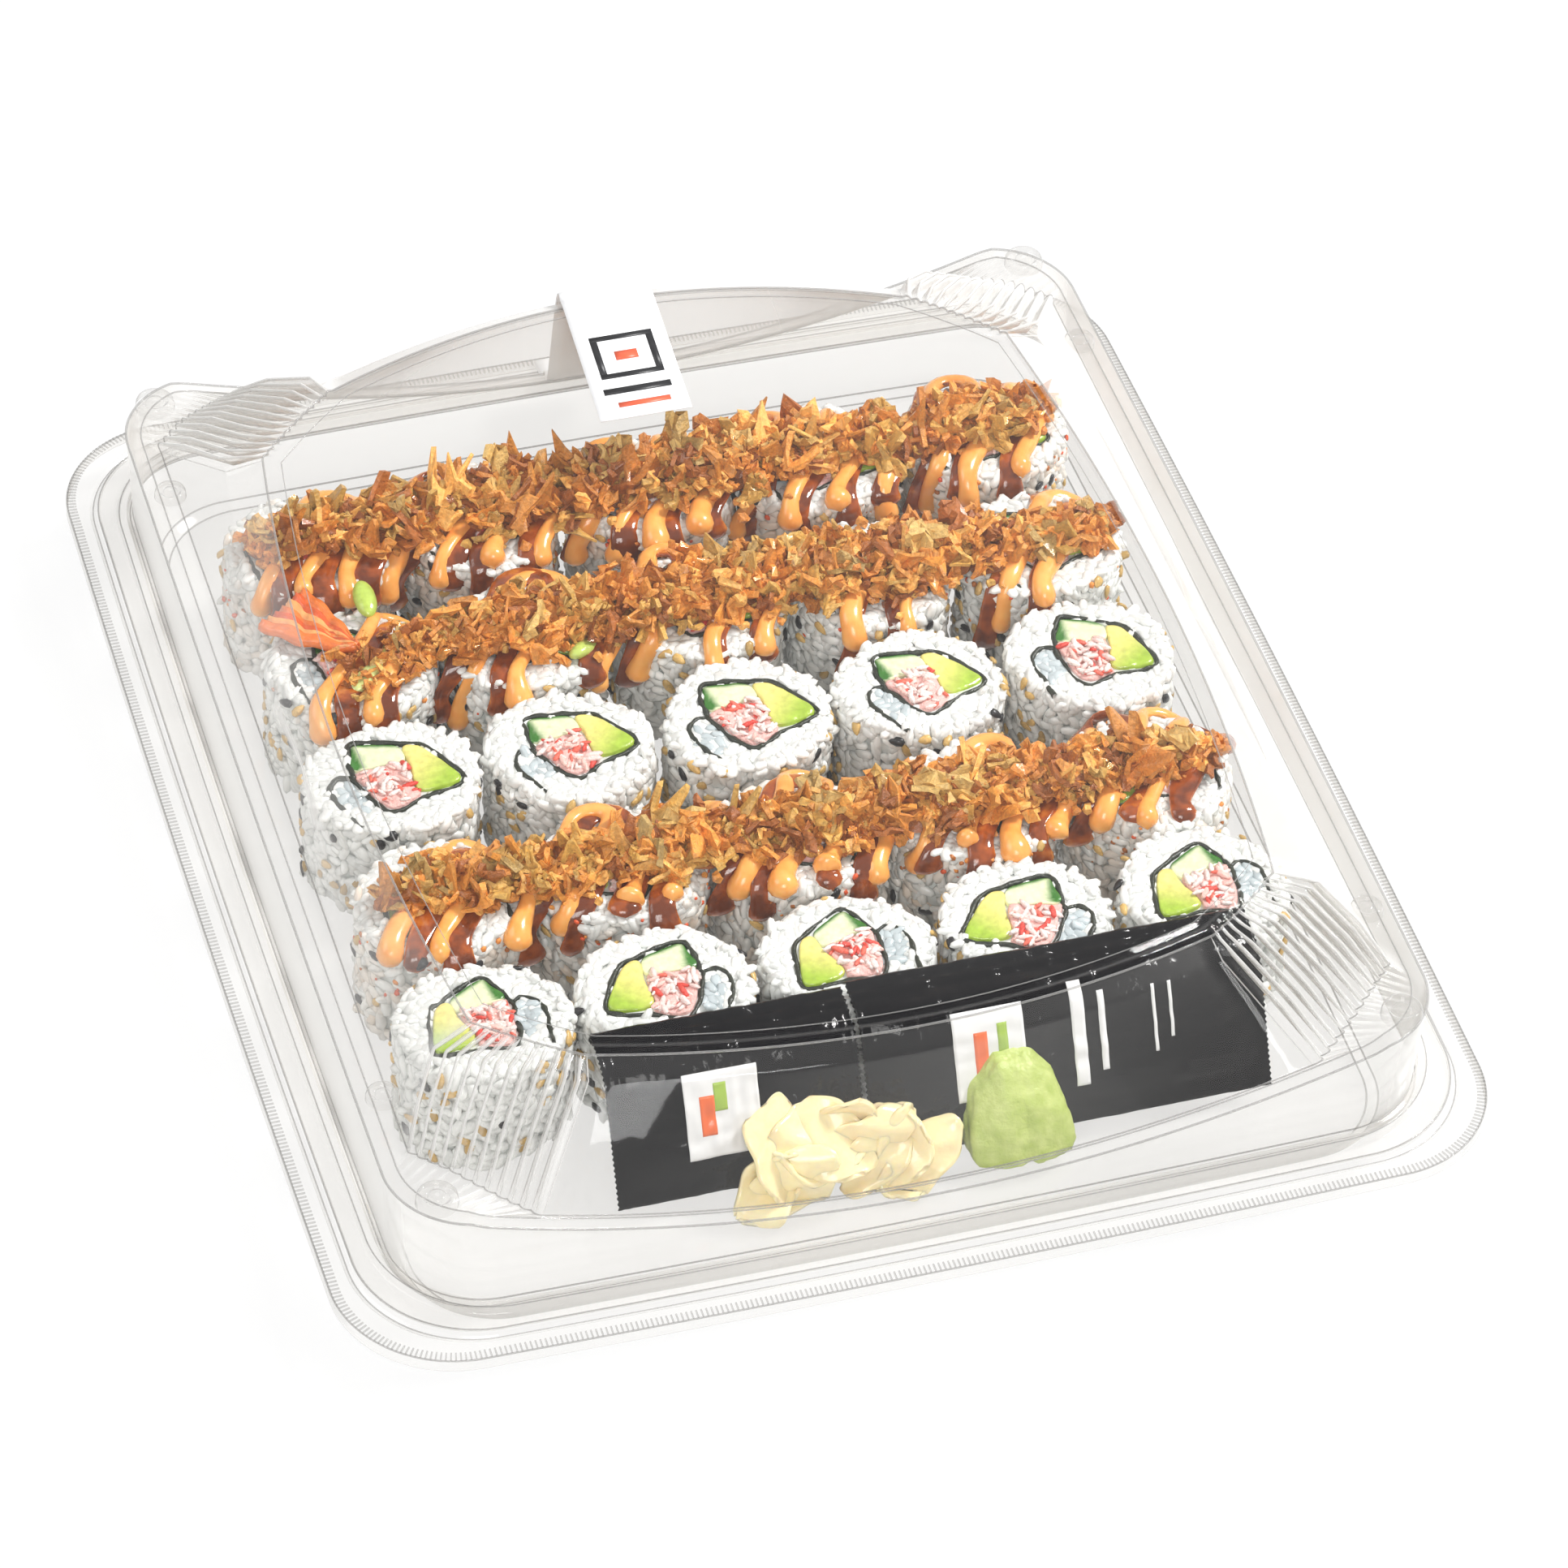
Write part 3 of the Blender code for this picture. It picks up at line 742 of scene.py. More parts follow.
def mound(heap, outline_points, row, column, height, color, rough=0.25, edge=None):
    """A filling that stands just proud of the cut face, with a soft uneven top."""
    rim = smooth_path(outline_points, 5, closed=True)
    centre = rim.mean(0)
    if face_frame(row, column)[0] < 0:
        rim = rim[::-1]
    seed = row * 7.3 + column * 3.1
    rings, tones = [], []
    for scale, level in ((1.0, -1.6), (1.0, 0.55), (0.95, 0.92), (0.84, 1.0), (0.68, 1.04),
                         (0.5, 1.05), (0.32, 1.05), (0.14, 1.05)):
        flat = centre + (rim - centre) * scale
        ring = place_on_face(flat, row, column, 0.0)
        for point in ring:
            point[2] += height * level * MM + rough * MM * wobble(*point, 420.0, seed)
        rings.append(ring)
        tones.append(edge(flat, np.array(color)) if edge else np.tile(color, (len(rim), 1)))
    heap.add(*capped(rings, bottom=False), np.vstack(tones + [tones[-1].mean(0)[None]]))


def blend(base, other, share):
    """Each point's colour between two colours."""
    return base * (1 - share[:, None]) + np.array(other) * share[:, None]


def cucumber_edge(flat, base):
    """Dark green skin on the outer side, pale flesh inside."""
    skin = np.clip((-flat[:, 0] - 4.0) / 1.4, 0, 1) * (flat[:, 1] > 4.5)
    skin = np.maximum(skin, np.clip((flat[:, 1] + flat[:, 0] * 0.4 - 9.3) / 0.9, 0, 1))
    return blend(base, (0.035, 0.17, 0.016), skin)


def avocado_edge(flat, base):
    """Yellow towards the stone, green towards the skin."""
    toward = np.clip((flat[:, 0] * 0.55 - flat[:, 1] * 0.65 - 1.0) / 7.5, 0, 1) ** 1.2
    return blend(base, (0.36, 0.52, 0.05), toward)


def build_fillings():
    """Cucumber, avocado, crab and the seaweed of every cut face."""
    green, crab, nori = Heap(), Heap(), Heap()
    for row, column in PIECES:
        mound(green, CUCUMBER, row, column, 0.75, (0.74, 0.79, 0.52), 0.25, cucumber_edge)
        mound(green, AVOCADO, row, column, 0.85, (0.82, 0.73, 0.23), 0.3, avocado_edge)
        mound(crab, CRAB, row, column, 0.7, (0.84, 0.50, 0.46), 0.8)
        add_shreds(crab, row, column)
        for path in (NORI_RING + NORI_RING[:1], NORI_CURL):
            add_nori(nori, smooth_path(path, 5), row, column)
    source = np.random.default_rng(77)
    places = np.array([(-72.0, 57.0, 32.5), (-78.0, 33.0, 31.5), (-29.0, 31.5, 30.6)]) * MM
    shades = np.array([(0.45, 0.60, 0.10), (0.62, 0.70, 0.25), (0.50, 0.62, 0.14)])
    sizes = np.array([5.4, 2.6, 1.8])[None, :, None] * MM
    green.scatter(ellipsoid(14, 10), places, random_rotations(3, source, 0.3) * sizes, shades)
    wet = new_material("vegetable", (0.5, 0.6, 0.2), 0.22, Subsurface_Weight=0.15,
                       Subsurface_Radius=(0.002, 0.002, 0.001), Coat_Weight=0.3)
    tone(wet, 620.0, 0.84, 1.12)
    bump(wet, 900.0, 0.0003, 0.5)
    green.finish("cucumber_avocado", wet, "rice")
    flake = new_material("crab_stick", (0.85, 0.6, 0.55), 0.38, Subsurface_Weight=0.2,
                         Subsurface_Radius=(0.003, 0.0012, 0.001))
    tone(flake, 800.0, 0.90, 1.08)
    bump(flake, 1300.0, 0.0006, 0.9)
    crab.finish("crab_pieces", flake, "rice")
    weed = new_material("seaweed", (0.010, 0.014, 0.008), 0.35)
    mottle(weed, 900.0, [(0.3, (0.006, 0.009, 0.006)), (0.7, (0.022, 0.028, 0.014))])
    bump(weed, 1500.0, 0.0003, 0.7)
    nori.finish("seaweed_sheets", weed, "rice")


def add_shreds(heap, row, column):
    """Shredded crab: short pale and red fibres that lie all ways over the middle."""
    source = np.random.default_rng(900 + 10 * row + column)
    area = smooth_path(CRAB, 4, closed=True)
    flat = source.uniform(-11, 11, (260, 2))
    flat = flat[inside(flat, area * 0.94)][:62]
    count = len(flat)
    places = place_on_face(flat, row, column, source.uniform(0.5, 1.5, count) * MM)
    frames = grain_frames(np.tile(UP, (count, 1)), source)
    frames *= source.uniform(0.35, 0.75, (count, 1, 1))
    frames[:, 1:] *= 0.72
    shades = np.array([(0.93, 0.78, 0.74), (0.90, 0.68, 0.64), (0.90, 0.56, 0.50),
                       (0.80, 0.15, 0.10), (0.72, 0.07, 0.05)])
    pick = source.choice(5, count, p=(0.38, 0.27, 0.16, 0.11, 0.08))
    heap.scatter(ellipsoid(6, 4), places, frames, shades[pick])


def add_nori(heap, path, row, column):
    """A thin upright ribbon of seaweed along a path on the face."""
    seed = row * 5.7 + column * 2.3
    wavy = path.copy()
    for index, (x, y) in enumerate(path):
        wavy[index, 0] += 0.35 * wobble(x * 0.1, y * 0.1, seed, 3.0)
        wavy[index, 1] += 0.35 * wobble(y * 0.1, x * 0.1, seed + 9, 3.0)
    along = unit(np.gradient(wavy, axis=0))
    side = np.column_stack([-along[:, 1], along[:, 0]])
    thick = 0.52 + 0.42 * np.array([noise.noise(Vector((i * 0.37, seed, 0)))
                                    for i in range(len(wavy))])
    lines = []
    for offset, level in ((-1, -1.5), (-1, 0.45), (0, 0.75), (1, 0.45), (1, -1.5)):
        line = place_on_face(wavy + side * (offset * thick)[:, None], row, column, 0.0)
        line[:, 2] += level * MM
        for point in line:
            point[2] += 0.35 * MM * wobble(*point, 500.0, seed)
        lines.append(line)
    faces = grid_faces(len(lines) + 1, len(wavy)) % (len(lines) * len(wavy))
    heap.add(np.concatenate(lines), faces if face_frame(row, column)[0] > 0 else faces[:, ::-1])


def inside(points, polygon):
    """Which points lie inside a polygon."""
    x, y = points[:, 0], points[:, 1]
    result = np.zeros(len(points), dtype=bool)
    for (x1, y1), (x2, y2) in zip(polygon, np.roll(polygon, -1, axis=0)):
        crosses = (y1 > y) != (y2 > y)
        with np.errstate(divide="ignore", invalid="ignore"):
            at = (x2 - x1) * (y - y1) / (y2 - y1) + x1
        result ^= crosses & (x < at)
    return result


GRAIN = ellipsoid(6, 4)
SIDE_GRAIN = ellipsoid(5, 4)
GRAIN_HALF = np.array([2.8, 1.45, 1.15]) * MM
SIDE_GRAINS, SIDE_TURNS, EDGE_GRAINS = 450, 12.5, 60
FACE_TRIES, FACE_RADIUS, FACE_GAP = 1050, 17.3, 1.62    # the last two in millimetres
CORE_SIDES = 40


def grain_frames(normals, source, flatten=1.0):
    """Random scaled axes for grains that lie on a surface."""
    count = len(normals)
    random_dir = source.normal(size=(count, 3))
    source.uniform(-1, 1, (count, 1))    # unused, and keeps the later draws as they are
    along = unit(random_dir - normals * 0.86 * np.sum(random_dir * normals, axis=1)[:, None])
    side = unit(np.cross(normals, along))
    up = np.cross(along, side)
    size = GRAIN_HALF * source.uniform(0.84, 1.14, (count, 3))
    size[:, 2] *= flatten
    return np.stack([along * size[:, :1], side * size[:, 1:2], up * size[:, 2:]], axis=1)


def rice_tones(count, source, stain=0.0):
    """Cool white, a little uneven, with an orange stain near the sauces."""
    base = np.array((0.86, 0.875, 0.85)) * source.uniform(0.92, 1.06, (count, 1))
    return np.clip(blend(base, (0.86, 0.58, 0.36), stain * np.ones(count)), 0, 1)


def unevenness(row, column, angle):
    """How far a piece's outline swells or pulls in at an angle."""
    first, second = np.random.default_rng(60 + 10 * row + column).uniform(0, 2 * np.pi, 2)
    return 1 + 0.030 * np.sin(2 * angle + first) + 0.028 * np.sin(3 * angle + second)


def side_point(row, column, angle, z, grow=1.0):
    """Points and normals on a piece's side."""
    grow = grow * unevenness(row, column, angle)
    round_out = np.column_stack([np.cos(angle), np.sin(angle)])
    spots = roll_centre(row, column) + round_out * (ROLL_RX, ROLL_RY) * grow[:, None]
    return at_height(spots, z), at_height(round_out, 0.0)


def add_side_grains(heap, row, column, source):
    """Grains on a piece's side, on a jittered spiral so that the cover is even."""
    count = SIDE_GRAINS
    t = (np.arange(count) + source.uniform(-0.3, 0.3, count)) / count
    angle = t * SIDE_TURNS * 2 * np.pi + source.uniform(-0.1, 0.1, count)
    z = FLOOR_Z + 1.6 * MM + np.clip(t, 0, 1) * (ROLL_HEIGHT - 3.4 * MM)
    z = np.maximum(z + source.normal(0, 0.5 * MM, count), FLOOR_Z + 2.6 * MM)
    shrink = 0.945 + source.normal(0, 0.007, count)
    places, normals = side_point(row, column, angle, z, shrink)
    stained = row in (1, 4)
    stains = np.clip(source.normal(0.15 * stained, 0.16, count), 0, 0.6) * stained
    heap.scatter(SIDE_GRAIN, places, grain_frames(normals, source),
                 rice_tones(count, source, stains))


def add_edge_grains(heap, row, column, source):
    """Grains that lean over a piece's upper edge."""
    count = EDGE_GRAINS
    angle = np.linspace(0, 2 * np.pi, count, endpoint=False)
    angle = angle + source.uniform(-0.05, 0.05, count)
    z = ROLL_TOP - 1.9 * MM + source.normal(0, 0.25 * MM, count)
    places, normals = side_point(row, column, angle, z, 0.895)
    normals[:, 2] = 0.8
    heap.scatter(GRAIN, places, grain_frames(unit(normals), source), rice_tones(count, source))


def add_face_grains(heap, row, column, source):
    """Grains on the cut face: its outer ring, and the lobe inside the seaweed's curl."""
    radius = FACE_RADIUS * np.sqrt(source.uniform(0.05, 1.0, FACE_TRIES))
    angle = source.uniform(0, 2 * np.pi, FACE_TRIES)
    radius = radius * unevenness(row, column, angle)
    flat = np.column_stack([radius * np.cos(angle), radius * np.sin(angle)])
    kept = []
    for point in flat[~inside(flat * 0.97, smooth_path(NORI_RING, 4, closed=True))]:
        if all((point[0] - q[0]) ** 2 + (point[1] - q[1]) ** 2 > FACE_GAP ** 2 for q in kept):
            kept.append(point)
    flat = np.array(kept)
    tones = rice_tones(len(flat), source)
    tones[inside(flat, smooth_path(RICE_LOBE, 4, closed=True))] *= (0.62, 0.69, 0.74)
    frames = grain_frames(np.tile(UP, (len(flat), 1)), source, 0.8)
    heap.scatter(GRAIN, place_on_face(flat, row, column, -0.35 * MM), frames, tones)


def build_rice():
    """Grains on each row's rolls, and the plain cores under them."""
    rice = new_material("rice_grains", (0.8, 0.82, 0.8), 0.26, Subsurface_Weight=0.25,
                        Subsurface_Radius=(0.004, 0.004, 0.004), Subsurface_Scale=0.8,
                        Coat_Weight=0.25, Coat_Roughness=0.12)
    tone(rice, 260.0, 0.95, 1.04)
    bump(rice, 1100.0, 0.0002, 0.25)
    for row in ROWS:
        heap = Heap()
        for column in COLUMNS:
            source = face_frame(row, column)[4]
            add_side_grains(heap, row, column, source)
            add_edge_grains(heap, row, column, source)
            add_face_grains(heap, row, column, source)
        heap.finish(f"rice_row_{row}", rice, "rice")
    cores = Heap()
    around = np.linspace(0, 2 * np.pi, CORE_SIDES, endpoint=False)
    profile = ((0.84, 0.0), (0.91, 0.06), (0.918, 0.5), (0.91, 0.88), (0.88, 0.945),
               (0.72, 0.968), (0.5, 0.97), (0.25, 0.97))
    for row, column in PIECES:
        rings = [side_point(row, column, around, FLOOR_Z + level * ROLL_HEIGHT, grow)[0]
                 for grow, level in profile]
        cores.add(*capped(rings), (0.76, 0.785, 0.765))
    cores.finish("roll_cores", rice, "rice", [f"roll_{row}_{column}" for row, column in PIECES])


def build_sesame():
    """Black and toasted sesame pressed into the rice."""
    seed = ellipsoid(6, 4, 0.35)
    kinds = (("black", 17, (0.011, 0.010, 0.012), Heap()), ("tan", 50, (0.62, 0.40, 0.13), Heap()))
    for row, column in PIECES:
        source = np.random.default_rng(50 * row + column)
        for _, full, shade, heap in kinds:
            number = full // 3 if row in (1, 4) else full
            angle = source.uniform(0, 2 * np.pi, number)
            z = FLOOR_Z + source.uniform(3 * MM, 0.98 * ROLL_HEIGHT, number)
            z = np.minimum(z, ROLL_TOP - 1.5 * MM)
            places, normals = side_point(row, column, angle, z, 0.998)
            normals[z > ROLL_TOP - 3.0 * MM, 2] = 0.9
            frames = grain_frames(unit(normals), source) * np.array([[0.64], [0.74], [0.50]])
            tones = np.array(shade) * source.uniform(0.7, 1.2, (number, 1))
            heap.scatter(seed, places, frames, tones)
    for kind, _, _, heap in kinds:
        made = tone(new_material(f"sesame_{kind}", (0.5, 0.4, 0.2), 0.35), 2500.0)
        heap.finish(f"sesame_{kind}", made, "rice")


# ---------------------------------------------------------------- toppings

def row_centre(row):
    return roll_centre(row, 3)[1]


def half_depth_at(row, x):
    """How far a row's pieces reach from its centre line at x."""
    best = 7.5 * MM
    for column in COLUMNS:
        offset = (x - roll_centre(row, column)[0]) / ROLL_RX
        if abs(offset) < 1:
            best = max(best, ROLL_RY * math.sqrt(1 - offset * offset))
    return best


def over_edge(row, x, reach, facing):
    """A point and normal at a distance over the top of a row and down its side."""
    half = half_depth_at(row, x)
    round_off = 3.2 * MM
    flat = half - round_off
    quarter = round_off * math.pi / 2
    if reach < flat:
        out, drop, angle = reach, 0.0, 0.0
    elif reach < flat + quarter:
        angle = (reach - flat) / round_off
        out = flat + round_off * math.sin(angle)
        drop = round_off * (1 - math.cos(angle))
    else:
        angle = math.pi / 2
        out, drop = half, round_off + (reach - flat - quarter)
    point = (x, row_centre(row) + facing * out, ROLL_TOP - drop)
    return point, (0.0, facing * math.sin(angle), math.cos(angle))


DRIFT = 0.72    # how far a strand moves along x for each step along y


def sauce_leg(row, x, reach, facing, lift, steps=16):
    """Points of one leg from the row's middle out over its edge."""
    path, normals = [], []
    for step in range(steps + 1):
        distance = reach * step / steps
        drift = facing * DRIFT * min(distance, 13 * MM)
        point, normal = over_edge(row, x + drift, distance, facing)
        path.append([point[k] + normal[k] * lift for k in range(3)])
        normals.append(normal)
    return path, normals


def hairpin(row, x, gap, front_a, front_b, back, lift):
    """Up from the front over the row, a loop at the back, and down again."""
    first, first_n = sauce_leg(row, x, front_a, -1, lift)
    second, second_n = sauce_leg(row, x + gap, front_b, -1, lift)
    up, up_n = sauce_leg(row, x, back, 1, lift, 8)
    down, down_n = sauce_leg(row, x + gap, back, 1, lift, 8)
    middle = (np.array(up[-1]) + np.array(down[-1])) / 2
    bend = []
    for step in range(1, 8):
        angle = math.pi * step / 8
        out = math.sin(angle) * gap * 0.42
        across = (1 - math.cos(angle)) / 2
        point = np.array(up[-1]) * (1 - across) + np.array(down[-1]) * across
        bend.append([point[0], point[1] + out, min(point[2], middle[2]) - out * 0.15])
    path = first[::-1] + up[1:] + bend + down[::-1][:-1] + second
    normals = first_n[::-1] + up_n[1:] + [up_n[-1]] * len(bend) + down_n[::-1][:-1] + second_n
    return np.array(path), np.array(normals)


def smooth_rows(values, times=2):
    """Average each row with its neighbours."""
    values = np.asarray(values, dtype=float)
    for _ in range(times):
        inner = (values[:-2] + 2 * values[1:-1] + values[2:]) / 4
        values = np.vstack([values[:1], inner, values[-1:]])
    return values


def lay_sauce(heap, row, places, source, width, flat, lift, reaches):
    """Hairpins of sauce at x places over a row, each of its own length and width."""
    for x, gap in places:
        path, normals = hairpin(row, x, gap, source.uniform(*reaches) * MM,
                                source.uniform(*reaches) * MM, source.uniform(12.0, 15.5) * MM,
                                lift)
        path, normals = smooth_rows(path, 3), smooth_rows(normals, 3)
        count = len(path)
        run = np.linspace(0, 1, count)
        swell = 1.0 + 0.22 * np.sin(run * source.uniform(7, 12) + source.uniform(0, 6))
        swell += 0.12 * np.sin(run * source.uniform(18, 30) + source.uniform(0, 6))
        drop = np.exp(-((run - 0.035) / 0.035) ** 2) + np.exp(-((run - 0.965) / 0.035) ** 2)
        wide = width * (swell + 0.45 * drop)
        path[:, 0] += 0.7 * MM * np.sin(run * source.uniform(10, 16) + source.uniform(0, 6))
        heap.add(*strand(path, normals, wide, wide * flat * (1 + 0.5 * drop), 12))


def spaced(source, start, end, gap, rest):
    """Places for hairpins: x and the gap between the two legs."""
    places, x = [], start
    while x < end:
        legs = source.uniform(*gap) * MM
        places.append((x, legs))
        x += legs + source.uniform(*rest) * MM
    return places


def build_sauces():
    """Orange mayonnaise and dark eel sauce in zigzags over rows 1, 2 and 4."""
    mayo, glaze = Heap(), Heap()
    rests = {1: (7.5, 13.0), 2: (13.0, 24.0), 4: (10.0, 17.0)}
    for row in TOPPED_ROWS:
        source = np.random.default_rng(300 + row)
        start = -84.0 * MM if row != 2 else -80.0 * MM
        reaches = {1: (16.0, 23.0), 2: (18.0, 27.0), 4: (13.0, 20.0)}[row]
        places = spaced(source, start, 86 * MM, (9.0, 12.0), rests[row])
        lay_sauce(mayo, row, places, source, 1.95 * MM, 0.72, 1.0 * MM, reaches)
        places = spaced(source, start + 5 * MM, 88 * MM, (8.0, 11.0), rests[row])
        lay_sauce(glaze, row, places, source, 2.5 * MM, 0.26, 0.7 * MM,
                  (reaches[0] + 1, reaches[1] + 5))
    cream = new_material("spicy_mayonnaise", (0.90, 0.40, 0.09), 0.22, Coat_Weight=0.3,
                         Subsurface_Weight=0.25, Subsurface_Radius=(0.003, 0.0015, 0.0006))
    mottle(cream, 260.0, [(0.3, (0.88, 0.34, 0.065)), (0.7, (0.95, 0.46, 0.12))])
    mayo.finish("mayonnaise_drizzle", cream, "fried_onion")
    dark = new_material("eel_sauce", (0.10, 0.012, 0.003), 0.10, Coat_Weight=0.3)
    facing = add_node(dark, "ShaderNodeLayerWeight", Blend=0.5).outputs["Facing"]
    ramp = ramp_node(dark, [(0.30, (0.13, 0.024, 0.003)), (0.62, (0.34, 0.070, 0.008)),
                            (0.95, (0.68, 0.24, 0.030))])
    spread = map_range(dark, noise_node(dark, 210.0).outputs["Fac"], From_Min=0.3, From_Max=0.7,
                       To_Max=0.62)
    thin = math_node(dark, "ADD", math_node(dark, "MULTIPLY", facing, 0.55), spread)
    dark.node_tree.links.new(thin, ramp.inputs["Fac"])
    dark.node_tree.links.new(ramp.outputs["Color"], shader_of(dark).inputs["Base Color"])
    glaze.finish("eel_sauce_drizzle", dark, "fried_onion")


def flake_templates(source, number=12):
    """Curled ragged shards about 1 unit long, as closed thin sheets."""
    made = []
    for _ in range(number):
        rows, columns = 4, 8
        uu, vv = np.meshgrid(np.linspace(-1, 1, columns), np.linspace(-1, 1, rows))
        ragged = 1 + 0.4 * np.sin(uu * source.uniform(3, 7) + source.uniform(0, 6))
        width = np.clip(1 - np.abs(uu) ** 4, 0.5, 1) * ragged * source.uniform(0.28, 0.62)
        x = uu + 0.10 * source.normal(size=uu.shape)
        y = vv * width + 0.08 * source.normal(size=uu.shape)
        y += source.uniform(-0.3, 0.3) * uu ** 2
        curl = source.uniform(0.3, 1.3)
        z = curl * (vv * width) ** 2 * 2.5 + source.uniform(-0.45, 0.45) * uu ** 2
        z += 0.16 * np.sin(uu * source.uniform(3, 8)) + 0.10 * source.normal(size=uu.shape)
        thick = 0.20 * source.uniform(0.6, 1.5, uu.shape)
        made.append(closed_sheet(np.stack([x, y, z], axis=2), thick))
    return made


def random_rotations(count, source, level=0.55):
    """Random axes whose third one leans towards +z."""
    up = unit(source.normal(size=(count, 3)) * level + UP)
    along = unit(np.cross(source.normal(size=(count, 3)), up))
    return np.stack([along, np.cross(up, along), up], axis=1)


ONION_TONES = np.array([(0.38, 0.115, 0.015), (0.62, 0.225, 0.032), (0.78, 0.32, 0.055),
                        (0.90, 0.47, 0.11), (0.68, 0.27, 0.038), (0.66, 0.38, 0.085)])
FLAKES, BIG_FLAKES, LOOSE_FLAKES, CRUMBS = 456, 9, 34, 620


def heap_shape(row, x, span):
    """Half depth and height of a row's onion heap at x."""
    low, high = span
    u = (np.asarray(x) - low) / (high - low)
    taper = np.clip(np.sin(np.pi * np.clip(u, 0.0, 1.0)), 0, 1) ** 0.3
    slow, fast = wobbles(x, row * 0.1, 0.0, 48.0), wobbles(x, row * 0.1, 0.5, 120.0)
    scale = 0.86 if row == 4 else 1.0
    deep = (8.6 + 3.4 * slow + 2.2 * fast) * scale
    tall = (5.6 + 3.6 * slow - 2.4 * fast) * scale
    return deep * MM * taper, np.maximum(tall, 2.6) * MM * taper


def heap_middle(row, x):
    """The heap's centre line, which wanders over the row."""
    return row_centre(row) + 1.6 * MM * wobbles(x, 0.3, row * 0.2, 30.0)


def on_heap(row, span, x, across, lift, share):
    """Places on a row's heap, across its depth and at a share of its height."""
    deep, tall = heap_shape(row, x, span)
    level = np.sqrt(np.clip(1 - across ** 2, 0, 1)) * tall
    y = heap_middle(row, x) + deep * across
    return np.column_stack([x, y, ROLL_TOP + lift + level * share])


def build_onions():
    """Fried onion: ragged flakes and crumbs heaped on a rough core, for rows 1, 2 and 4."""
    crisp = tone(new_material("onion_crisp", (0.5, 0.2, 0.05), 0.38, Coat_Weight=0.2), 900.0,
                 0.72, 1.2)
    bump(crisp, 1400.0, 0.0006, 0.9, 4.0)
    for row in TOPPED_ROWS:
        source = np.random.default_rng(400 + row)
        templates = flake_templates(source)
        low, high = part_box(f"onion_heap_{row}")
        span = (low[0] + 2 * MM, high[0] - 2 * MM)
        heap = Heap()

        def strew(template, places, size, tones, level):
            turns = random_rotations(len(places), source, level)
            heap.scatter(template, places, turns * size, tones)

        def sizes(least, most, count):
            return source.uniform(least, most, (count, 1, 1)) * MM

        def shades(count, first=0):
            return ONION_TONES[source.integers(first, len(ONION_TONES), count)]

        count = FLAKES // len(templates)
        for template in templates:
            x = source.uniform(*span, count)
            across = source.uniform(-1.05, 1.05, count)
            places = on_heap(row, span, x, across, 1.4 * MM, source.uniform(0.5, 1.0, count))
            size = sizes(2.0, 5.6, count)
            tones = shades(count)
            strew(template, places, size, tones * source.uniform(0.8, 1.2, (count, 1)), 1.0)
        x = source.uniform(*span, BIG_FLAKES)
        deep, tall = heap_shape(row, x, span)
        y = heap_middle(row, x) + deep * source.uniform(-0.5, 0.5, BIG_FLAKES)
        size = sizes(5.0, 7.5, BIG_FLAKES)
        tones = np.array((0.70, 0.45, 0.14)) * source.uniform(0.7, 1.1, (BIG_FLAKES, 1))
        places = np.column_stack([x, y, ROLL_TOP + 1.8 * MM + tall])
        strew(templates[row], places, size, tones, 0.5)
        if row == 2:
            x = source.uniform(-82, -66, LOOSE_FLAKES) * MM
            y = row_centre(row) + source.normal(-3.0, 4.0, LOOSE_FLAKES) * MM
            size = sizes(1.6, 4.6, LOOSE_FLAKES)
            tones = shades(LOOSE_FLAKES)
            z = ROLL_TOP + source.uniform(0.6, 3.0, LOOSE_FLAKES) * MM
            strew(templates[0], np.column_stack([x, y, z]), size, tones, 1.0)
        chunk, chunk_faces = ellipsoid(5, 4)
        chunk = chunk * source.uniform(0.7, 1.3, chunk.shape)
        x = source.uniform(*span, CRUMBS)
        across = source.normal(0, 0.62, CRUMBS)
        places = on_heap(row, span, x, across, 0.9 * MM, source.uniform(0.7, 1.0, CRUMBS))
        size = sizes(0.6, 1.6, CRUMBS)
        strew((chunk, chunk_faces), places, size, shades(CRUMBS, 1), 2.0)
        add_heap_core(heap, row, span)
        heap.finish(f"onion_row_{row}", crisp, "fried_onion", [f"onion_heap_{row}"], smooth=False)


def add_heap_core(heap, row, span):
    """The rough inner mass under the flakes."""
    sections, around = 90, 12
    rings = []
    for index in range(sections):
        x = span[0] + (span[1] - span[0]) * index / (sections - 1)
        deep, tall = heap_shape(row, x, span)
        ring = []
        for step in range(around):
            angle = 2 * math.pi * step / around
            rough = 1 + 0.35 * wobble(x, step * 0.004, row, 300.0)
            z = max(0.0, math.sin(angle)) * tall[0] * 0.62 * rough
            ring.append((x, heap_middle(row, x)[0] + deep[0] * 0.80 * math.cos(angle) * rough,
                         ROLL_TOP + 0.2 * MM + z))
        rings.append(ring)
    verts = np.array(rings).reshape(-1, 3)
    faces = grid_faces(sections, around, wrap=True)[:, ::-1]
    heap.add(verts, faces, (0.42, 0.13, 0.018))


